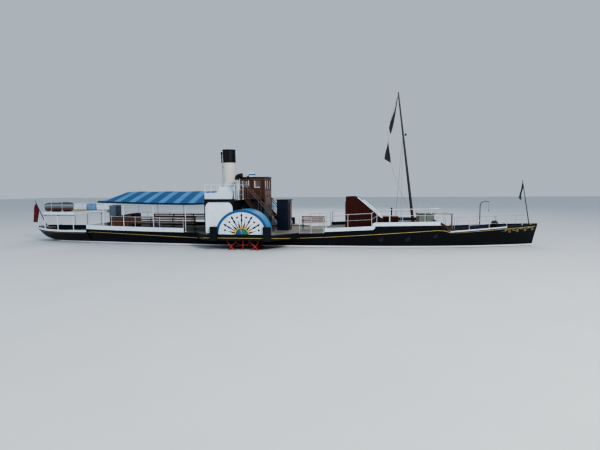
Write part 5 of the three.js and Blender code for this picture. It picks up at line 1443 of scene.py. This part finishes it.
def hanging_flag(name, finish, slot, left, right, flat, folds, depth, stands_for, y=0.0, on=()):
    """Slack flag between two edges: p(u, v) = left(u) + v (right(u) - left(u)), where u runs down
    the fly and v across it; it stands out by depth s(u) (sin(2 pi folds v + 1.5 u)
    + 0.3 sin(4.6 pi folds v - 4 u)), and s swells towards the middle."""
    a, b = curve([(x, 0, z) for x, z in left], 60), curve([(x, 0, z) for x, z in right], 60)
    v = np.linspace(0, 1, 81)[None, :, None]
    u = np.linspace(0, 1, 60)[:, None, None]
    front = a[:, None] + v * (b - a)[:, None]
    swell = 0.15 + 0.85 * np.sin(np.pi * np.clip(u * 0.9 + 0.05, 0, 1)) ** 0.7
    wave = depth * swell * (
        np.sin(2 * np.pi * folds * v + 1.5 * u) + 0.3 * np.sin(2 * np.pi * folds * 2.3 * v - 4 * u)
    )
    front = front + wave * np.array((0.0, 1.0, 0.0)) + (0, y, 0)
    back = front + (0, 0.0012, 0)
    flag = piece(name, [shell_of(front, back)], [finish], stands_for=[stands_for], smooth=60)


# Flags: piece, finish, slot, the two edges from the top down as x and z, cut size, folds, depth of the
# folds, what it stands for, place athwart, what it hangs on
FLAGS = (
    (
        "stern_ensign_cloth", RED_BUNTING, "red_cloth",
        [(-17.06, 2.64), (-17.19, 2.5), (-17.33, 1.9), (-17.42, 1.25)],
        [(-17.05, 2.62), (-16.88, 2.13), (-16.97, 1.7), (-17.08, 1.22)], (0.72, 1.45), 3, 0.045, "ensign",
        0.0, ["stern_rim_band"],
    ),
    (
        "bow_jack_cloth", GREEN_BUNTING, "green_cloth",
        [(16.12, 3.85), (16.08, 3.5), (15.99, 3.1), (15.96, 2.9)],
        [(16.14, 3.84), (16.19, 3.5), (16.13, 3.25), (16.12, 2.78)], (0.3, 1.0), 2, 0.03, "jack", 0.0,
        ["bow_cap_rail"],
    ),
    (
        "masthead_pennant_cloth", NAVY_BUNTING, "navy_cloth",
        [(8.55, 9.25), (8.41, 8.5), (8.16, 7.75), (8.08, 7.4), (8.15, 7.02)],
        [(8.6, 9.27), (8.5, 8.5), (8.4, 7.85), (8.31, 7.4), (8.19, 6.99)], (0.3, 2.32), 2, 0.03, "pennant",
        -0.06, ["mast_pole_and_lamp"],
    ),
    (
        "halyard_signal_cloth", NAVY_BUNTING, "navy_cloth",
        [(8.03, 6.55), (7.96, 6.2), (7.85, 5.75), (7.8, 5.42)],
        [(8.04, 6.54), (8.1, 6.066), (8.18, 5.6), (8.22, 5.17)], (0.42, 1.35), 2, 0.04, "cone_flag", -0.03,
        ["signal_halyard"],
    ),
)


def flags():
    """The four flags, each hung between its two edges."""
    for row in FLAGS:
        hanging_flag(*row)


def platform():
    """Boat platform over the stern: planked top, white fascia and round stanchions."""
    parts = [
        block(-15.22, -12.9, -1.65, 1.65, 2.02, PLATFORM_TOP, 0),
        block(-12.95, -11.66, 0.21, 1.65, 2.02, PLATFORM_TOP, 0),
    ]
    parts += [
        block(-12.9, -11.65, 0.19, 0.21, 1.96, FASCIA_TOP, 1),
        block(-11.66, -11.64, 0.19, 1.66, 1.96, FASCIA_TOP, 1),
    ]
    parts += [
        block(-12.9, -11.65, 1.65, 1.66, 1.96, FASCIA_TOP, 1),
        block(-12.9, -12.88, -1.65, 0.2, 1.9, FASCIA_TOP, 1),
    ]
    for _, side in SIDES:
        parts.append(block(-15.22, -12.9, side * 1.65, side * 1.69, 1.87, 2.075, 1))
        parts += [
            block(-15.22, -12.9, side * 1.64, side * 1.698, 2.05, FASCIA_TOP, 1),
            block(-15.22, -12.9, side * 1.64, side * 1.697, 1.85, 1.9, 2),
        ]
        for x in (-15.17, -14.18, -13.02):
            on_rim = x < -15
            in_well = float(side_y(x, STERN_FLOOR)) - WALL - 0.035
            y = side * (float(edge(x)) - WALL / 2 if on_rim else min(1.6, in_well))
            low, wide = (float(sheer(x)) + 0.1115, 0.035) if on_rim else (STERN_FLOOR + GAP, 0.07)
            parts.append(tube([(x, y, low), (x, y, 2.03)], 0.03, 1, 14))
            parts.append(flange((x, y, low), wide, 0.012, 0.032, 0.05, 1, 14))
            parts.append(prism(
                [(x, 1.72), (x + 0.3, 2.02), (x + 0.26, 2.02), (x, 1.77)], 1, y - 0.012, y + 0.012, 1,
            ))
    parts += [tube([(-11.75, 1.5, STERN_FLOOR + GAP), (-11.75, 1.5, 2.03)], 0.03, 1, 14)]
    parts += [block(x, x + 0.06, -1.62, 1.62, 1.94, 2.02, 1) for x in (-15.2, -14.1, -12.96)]
    parts += [block(-12.95, -11.65, y, y + 0.04, 1.95, 2.02, 1) for y in (0.2, 1.61)]
    parts += [block(-11.69, -11.65, 0.2, 1.65, 1.95, 2.02, 1)]
    piece("boat_platform", parts, [DECK_ACROSS, WHITE, BLACK], stands_for=["stern_platform"], bevel=0.003)


def lockers():
    """Three lockers with overhanging lids, battens and toggles, on one base board."""
    parts = [block(-15.05, -11.72, 0.9, 1.56, PLATFORM_TOP + GAP, 2.12, 2)]
    for x0, x1, color in ((-15.03, -13.76, 0), (-13.7, -13.01, 1), (-12.95, -11.74, 0)):
        parts += [
            block(x0 + 0.01, x1 - 0.01, 0.93, 1.53, 2.1, 2.53, color),
            block(x0, x1, 0.92, 1.54, 2.51, 2.56, color),
        ]
        for x in np.linspace(x0 + 0.06, x1 - 0.1, 3 if color == 0 else 2):
            parts += [block(x, x + 0.045, 0.918, 1.542, 2.13, 2.5, color)]
        parts += [block(x, x + 0.05, 0.912, 0.93, 2.46, 2.54, 3) for x in (x0 + 0.25, x1 - 0.3)]
    piece(
        "raft_lockers", parts, [WHITE, LOCKER_BLUE, DARK_WOOD, BRASS], stands_for=["platform_lockers"],
        bevel=0.006,
    )


def platform_rails():
    """Open rails along both sides of the boat platform."""
    for name, side, stations in (
        ("starboard", -1, (-15.12, -14.6, -13.8, -12.95)), ("port", 1, (-15.12, -14.2, -12.95, -11.7)),
    ):
        points = [(x, side * 1.6, PLATFORM_TOP + GAP) for x in stations]
        parts = posts_and_rails(points, 0.84, [(0.835, 0.014), (0.45, 0.009)], 0.014, material=0)
        piece(f"boat_deck_rail_{name}", parts, [GREY_RAIL], stands_for=[f"platform_rail_{name}"])


def vents():
    """Two short vent posts on one base, to starboard of the fore hood."""
    low = on_deck(8.19)
    parts = [block(8.04, 8.34, -1.02, -0.78, low, 1.4, 2)]
    parts.append(lathe(
        capped([(0.06, 0), (0.044, 0.04), (0.044, 0.88), (0.062, 0.9), (0.062, 0.965), (0.03, 0.98)]),
        (8.24, -0.9, 1.39), 2, 0, 24,
    ))
    parts.append(lathe(
        capped([(0.045, 0), (0.031, 0.03), (0.031, 0.67), (0.02, 0.69)]), (8.13, -0.9, 1.39), 2, 1, 20,
    ))
    piece("foredeck_vents", parts, [BLACK, WHITE, IRON], stands_for=["vent_posts"])


# Boat from stern to stem: x, half breadth, and rise of the gunwale as a share of 0.6 m
BOAT = np.array([
    (-15.5, 0.43, 0.75), (-15.1, 0.56, 0.95), (-14.5, 0.56, 1.0), (-13.95, 0.38, 0.95), (-13.56, 0.04, 0.9),
])
BOAT_MIDDLE = -0.75  # the boat lies this far to starboard


def boat_ring(x, inset):
    """Section of the boat: y = w cos(a) |cos(a)|^-0.3, z = top - depth |sin(a)|^0.8, round the
    bottom from edge to edge."""
    smoother = curve([(px, w, rise) for px, w, rise in BOAT], 200)
    w, rise = (float(np.interp(x, smoother[:, 0], smoother[:, k])) for k in (1, 2))
    w, top = max(w - inset, 0.012), PLATFORM_TOP + GAP + 0.6 * rise
    keel = PLATFORM_TOP + GAP + inset + 0.1 * np.clip((x + 14.1) / 0.54, 0, 1) ** 2
    a = np.linspace(0, np.pi, 27)
    y = w * np.sign(np.cos(a)) * np.abs(np.cos(a)) ** 0.7
    return np.stack([np.full(27, x), y + BOAT_MIDDLE, top - (top - keel) * np.abs(np.sin(a)) ** 0.8], 1)


def dinghy():
    """Clinker boat on two chocks: planked skin, gunwale, keel, transom, ribs, thwarts and oars."""
    xs = np.concatenate([np.linspace(-15.5, -13.9, 26), np.linspace(-13.86, -13.56, 10)])
    outer = np.array([boat_ring(x, 0.0) for x in xs])
    inner = np.array([boat_ring(x, 0.022) for x in xs])
    parts = [shell_of(outer, inner, 0)]
    for col in (0, -1):
        parts.append(tube(outer[:, col] + (0, 0, 0.006), 0.02, 1, 8))
    for step in (0.035, 0.06, 0.09):
        for col in (3, 23):
            line = outer[:, col] + (outer[:, col] - outer[:, 13]) * (step - 0.035)
            parts.append(tube(line, 0.006, 0, 6))
    stern = boat_ring(-15.495, 0.004)
    parts += [prism([(y, z) for _, y, z in stern], 0, -15.5, -15.465, 1)]
    parts += [
        tube(outer[:, 13] + (0, 0, 0.016), 0.016, 2, 8),
        tube(outer[-1, 13:] * 0.5 + outer[-1, 13::-1] * 0.5, 0.03, 1, 8),
    ]
    for x in np.arange(-15.35, -13.95, 0.24):
        parts.append(tube(boat_ring(x, 0.026)[1:-1], 0.01, 1, 6))
    for x in (-15.25, -14.7, -14.15):
        ring = boat_ring(x, 0.03)
        parts.append(block(
            x - 0.11, x + 0.11, ring[-2, 1], ring[1, 1], ring[2, 2] + 0.02, ring[2, 2] + 0.045, 1,
        ))
    for y in (-0.95, -0.6):
        parts.append(tube([(-15.3, y, 2.665), (-14.0, y * 0.9 - 0.07, 2.66)], 0.02, 3, 8))
        parts.append(prism(
            [(-15.48, 2.655), (-15.08, 2.66), (-15.08, 2.675), (-15.48, 2.67)], 1, y - 0.06, y + 0.06, 3,
        ))
    for x in (-15.1, -14.2):
        ring = boat_ring(x, -0.002)
        low = ring[np.abs(ring[:, 1] - BOAT_MIDDLE) < 0.36]
        outline = [(p[1], p[2]) for p in low] + [
            (low[-1][1] - 0.05, PLATFORM_TOP + GAP), (low[0][1] + 0.05, PLATFORM_TOP + GAP),
        ]
        parts.append(prism(outline, 0, x - 0.03, x + 0.03, 4))
    piece("small_boat", parts, [BOAT_HULL, MAHOGANY, IRON, TEAK, WHITE], stands_for=["dinghy"])


def windlass():
    """Bed, two cheeks, a grooved barrel with warping ends, and the bitts abaft it."""
    parts = [block(14.3, 15.7, -0.36, 0.36, BOW_FLOOR + GAP, 0.85, 1)]
    for y in (-0.25, 0.25):
        cheek = [(14.42, 0.84), (14.78, 0.84), (14.72, 1.3), (14.68, 1.5), (14.52, 1.5), (14.48, 1.3)]
        parts.append(prism(cheek, 1, y - 0.03, y + 0.03, 0))
    profile = [(ON_AXIS, -0.42), (0.105, -0.42), (0.11, -0.4), (0.07, -0.36), (0.07, -0.3), (0.11, -0.28)]
    profile += [
        (0.085 + 0.022 * math.cos(k) ** 2, h)
        for k, h in zip(np.linspace(0, 4 * np.pi, 41), np.linspace(-0.21, 0.21, 41))
    ]
    profile += [(0.11, 0.28), (0.07, 0.3), (0.07, 0.36), (0.11, 0.4), (0.105, 0.42), (ON_AXIS, 0.42)]
    parts.append(lathe(profile, (14.6, 0, 1.35), 1, 0, 28))
    hoop = [(0.14, -0.025), (0.165, -0.02), (0.165, 0.02), (0.14, 0.025), (0.14, -0.025)]
    parts += [lathe(hoop, (14.6, y, 1.35), 1, 0, 28) for y in (-0.15, 0.15)]
    parts.append(tube(
        [(14.68, 0.0, 1.46), (14.62, 0.0, 1.62), (14.6, 0.0, 1.8)], [0.016, 0.014, 0.018], 0, 10,
    ))
    parts += [block(15.14, 15.66, -0.08, 0.08, 0.78 + GAP, 0.82, 0)]
    bitt = [(ON_AXIS, 0), (0.07, 0), (0.058, 0.02), (0.058, 0.26)]
    bitt += [(0.08, 0.28), (0.08, 0.305), (0.05, 0.32), (ON_AXIS, 0.322)]
    parts += [lathe(bitt, (x, 0, 0.8), 2, 0, 24) for x in (15.24, 15.56)]
    piece("windlass_and_bitts", parts, [IRON, DARK_WOOD], stands_for=["windlass"], bevel=0.004)


def anchor_davit():
    """Swan-necked davit on the bow deck: a post whose head bends forward in a quarter round, with
    its fall."""
    foot, head, bend = np.array((13.62, -0.35, BOW_FLOOR + GAP)), 2.45, 0.28
    a = np.linspace(0, np.pi / 2, 10)
    neck = [(foot[0] + bend * (1 - math.cos(k)), foot[1], head + bend * math.sin(k)) for k in a]
    path = [tuple(foot)] + neck + [(foot[0] + 0.52, foot[1], head + bend - 0.03)]
    parts = [tube(path, np.interp(np.arange(len(path)), [0, 1, len(path) - 1], [0.034, 0.026, 0.018]), 0, 12)]
    parts.append(flange(foot, 0.07, 0.014, 0.04, 0.06, 0, 18))
    tip = np.array(path[-1])
    parts += [
        tube([tip - (0.02, 0, 0.01), tip - (0.02, 0, 0.5)], 0.006, 0, 6),
        ball(tip - (0.02, 0, 0.54), 0.035, 0),
    ]
    piece("anchor_davit", parts, [IRON])


def tall_locker():
    """Upright deck locker with a coaming, a framed front and an overhanging lid."""
    low = float(sheer(-11.2)) - 0.003
    parts = [
        block(-11.478, -10.932, 0.202, 0.848, low + 0.012, 2.42, 0),
        block(-11.48, -10.93, 0.2, 0.85, 2.42, 2.47, 0),
    ]
    parts += frame_across(0.26, 0.79, 1.15, 2.34, -10.932, -10.922, 0.03)
    parts += [block(-11.44, -10.97, 0.19, 0.202, z, z + 0.05, 0) for z in (1.1, 1.7, 2.32)]
    parts += [block(x, x + 0.05, 0.19, 0.202, 1.15, 2.32, 0) for x in (-11.44, -11.02)]
    parts.append(ball((-10.905, 0.35, 1.75), 0.02, 1))
    piece("tall_deck_locker", parts, [GREY_PANEL, BRASS], stands_for=["tall_locker"], bevel=0.003)


def bench_parts(x0, x1, y, deck, slats=4):
    """Slatted seat on turned legs with a slatted back along its middle line."""
    parts = []
    for k in range(slats):
        for side in (-1, 1):
            inner = y + side * (0.035 + k * 0.19 / slats)
            parts.append(block(
                x0, x1, inner, inner + side * (0.19 / slats - 0.008), deck + 0.415, deck + 0.44, 0,
            ))
    parts += [block(x0, x1, y - 0.018, y + 0.018, deck + z, deck + z + 0.09, 0) for z in (0.5, 0.63, 0.765)]
    count = max(2, round((x1 - x0) / 1.5) + 1)
    for k in range(count):
        x = x0 + 0.09 + (x1 - x0 - 0.18) * k / (count - 1)
        low = on_deck(x)
        parts += [block(x - 0.03, x + 0.03, y - 0.022, y + 0.022, deck + 0.4, deck + 0.86, 1)]
        parts += [
            tube([(x, y + side * 0.16, low), (x, y + side * 0.12, deck + 0.41)], 0.02, 1, 10)
            for side in (-1, 1)
        ]
        parts += [block(x - 0.025, x + 0.025, y - 0.2, y + 0.2, deck + 0.385, deck + 0.416, 1)]
        parts += [tube([(x, y - 0.15, low + 0.14), (x, y + 0.15, low + 0.14)], 0.012, 1, 8)]
    return parts


def benches():
    """Two long seats under the awning and a short one amidships."""
    for name, side in SIDES:
        piece(
            f"deck_seat_{name}", bench_parts(-8.9, -4.2, side * 1.725, 0.941), [TEAK, IRON],
            stands_for=[f"aft_bench_{name}"], bevel=0.004,
        )
    piece(
        "deck_seat_midships", bench_parts(2.45, 4.0, 0, 0.9), [TEAK, IRON], stands_for=["mid_bench"],
        bevel=0.004,
    )


def casing_trim():
    """Panel mouldings, portlights and a plinth on the engine house, with a handrail round it."""
    parts, lights, rails = [], [], []
    for _, side in SIDES:
        y = side * ENGINE_HOUSE_WALL
        parts += [block(-3.35, 0.19, y, side * 1.262, z, z + 0.06) for z in (0.875, 2.76)]
        for x0, x1 in ((-3.25, -2.5), (-2.4, -1.65), (-1.55, -0.8), (-0.05, 0.12)):
            for z0, z1 in ((1.0, 1.7), (1.8, 2.68)):
                parts += frame_round(x0, x1, z0, z1, y, 0.025, 0.01)
        for x in (-2.87, -2.02, -1.17):
            lights += [
                ring_bar((x, y + side * 0.008, 2.25), 1, 0.16, 0.022, 0),
                lathe(capped([(0.15, -0.006), (0.15, 0.008)]), (x, y, 2.25), 1, 1, 32),
            ]
        rails.append(tube([(-3.2, side * 1.3, 1.75), (-0.75, side * 1.3, 1.75)], 0.014, 0, 8))
        rails += [tube([(x, y, 1.75), (x, side * 1.3, 1.75)], 0.01, 0, 8) for x in (-3.1, -2.0, -0.85)]
    for x, out in ((-3.35, -3.362), (0.19, 0.202)):
        for y0 in (-1.15, -0.35, 0.45):
            parts += frame_across(y0, y0 + 0.7, 1.0, 1.7, x, out, 0.025)
            if x < 0:
                parts += frame_across(y0, y0 + 0.7, 1.8, 2.68, x, out, 0.025)
    # The dark teal mouldings keep the painted shade of the engine house.
    piece("engine_house_mouldings", parts, [GREEN_PANEL], bevel=0.002)
    piece("engine_house_lights", lights, [IRON, WINDOW])
    piece("engine_house_handrails", rails, [IRON])


def rudder_trim():
    """Gudgeon straps and bolts on the blade."""
    parts = []
    for z in (-0.72, -0.42):
        parts += [block(-15.35, -14.66, -0.052, 0.052, z, z + 0.07)]
        parts += [
            tube([(x, -0.06, z + 0.035), (x, 0.06, z + 0.035)], 0.014, 0, 8) for x in (-15.25, -15.05, -14.85)
        ]
    piece("rudder_straps", parts, [IRON], body="rudder")


piece(
    "hull_plating", hull_parts(), [HULL_PAINT, DECK, NAVY], stands_for=["hull"], smooth=30
)
hull_trim()
stern_rim()
aft_bulwark()
fore_bulwark()
bow_cap()
for side_name, sign in SIDES:
    paddle_box(side_name, sign)
    paddle_wheel(side_name, sign)
    sponson_house_trim(side_name, sign)
    bridge_rails(side_name, sign)
    dodger(side_name, sign)
    door_trim(f"sponson_house_door_{side_name}", -2.66, -1, sign * 3.13, sign * 3.77, 0.96, 2.66, sign * 3.77)
door_trim("fore_hood_door", 5.36, -1, -0.5, 0.5, 1.1, 2.76, 0.5)
door_trim("hatch_door", 1.71, 1, -0.34, 0.34, 0.96, 2.68, 0.34)
door_trim("aft_hatch_door", -9.26, 1, -0.42, 0.42, 1.0, 1.84, 0.42)
for build in (
    bridge_deck, ladders, funnel, fiddley_trim, wheelhouse_trim, wheelhouse_roof, sliding_doors, helm,
    casing_trim, fore_hood, hatch_trim, aft_hatch_trim, skylight, awning, awning_frame, mast, flags, platform,
    lockers, platform_rails, vents, dinghy, windlass, anchor_davit, tall_locker, benches, rudder_trim,
):
    build()

# CAD solids that show as they are, and their finishes
# The engine casing takes the painted shade under the bridge.
SOLIDS = {
    "rudder": HULL_PAINT, "sponson_starboard": GUARD, "sponson_port": GUARD, "sponson_house_starboard": WHITE,
    "sponson_house_port": WHITE, "paddle_shaft": STEEL, "engine": STEEL, "boiler": IRON,
    "engine_casing": SHADED_CASING, "fiddley": WHITE, "wheelhouse": MAHOGANY_SIDE,
    "wheelhouse_door_starboard": MAHOGANY_SIDE, "wheelhouse_door_port": MAHOGANY_SIDE,
    "sponson_house_door_starboard": MAHOGANY, "sponson_house_door_port": MAHOGANY, "fore_hood_door": MAHOGANY,
    "hatch_house": HATCH_PAINT, "hatch_door": MAHOGANY, "aft_hatch": HATCH_WOOD, "aft_hatch_door": MAHOGANY,
}
for node, finish in SOLIDS.items():
    nodes[node].data.materials.clear()
    nodes[node].data.materials.append(finish)


FLOOR_CORNERS = [(-140, -90, 0), (140, -90, 0), (140, 160, 0), (-140, 160, 0)]
SKY_COLOR, SKY_STRENGTH = (0.72, 0.82, 0.95, 1), 0.6
# Lamps: name, place, what it looks at, diameter in metres, power in watts, colour
LAMPS = (
    ("key", (26, -34, 26), (0, 0, 1), 12, 15000, (1, 0.95, 0.87)),
    ("fill", (-30, -30, 18), (-4, 0, 1), 20, 3500, (0.85, 0.92, 1)),
    ("back", (0, 40, 30), (0, 0, 2), 20, 4000, (1, 0.98, 0.94)),
)


def stage():
    """Pale floor at the waterline, an even sky and three soft lamps."""
    n = Nodes("studio_floor")
    grain = n.noise(0.6, detail=3)
    finish = n.finish(n.mix(grain, "c9cfd4", "d2d7db"), n.span(grain, 0, 1, 0.75, 0.85))
    mesh = bpy.data.meshes.new("floor")
    mesh.from_pydata(FLOOR_CORNERS, [], [(0, 1, 2, 3)])
    mesh.materials.append(finish)
    floor = bpy.data.objects.new("floor", mesh)
    bpy.context.scene.collection.objects.link(floor)
    bpy.context.scene.view_settings.look = "AgX - Medium High Contrast"
    world = bpy.data.worlds.new("studio")
    bpy.context.scene.world = world
    world.use_nodes = True
    sky = world.node_tree.nodes["Background"]
    sky.inputs[0].default_value = SKY_COLOR
    sky.inputs[1].default_value = SKY_STRENGTH
    for name, place, target, size, power, tint in LAMPS:
        light = bpy.data.lights.new(name, "AREA")
        light.shape, light.size, light.energy, light.color = "DISK", size, power, tint
        lamp = bpy.data.objects.new(name, light)
        away = np.array(place, float) - target
        away /= np.linalg.norm(away)
        right = np.cross((0, 0, 1), away)
        right /= np.linalg.norm(right)
        up = np.cross(away, right)
        lamp.matrix_world = axes_matrix(right, up, away, place)
        bpy.context.scene.collection.objects.link(lamp)


stage()
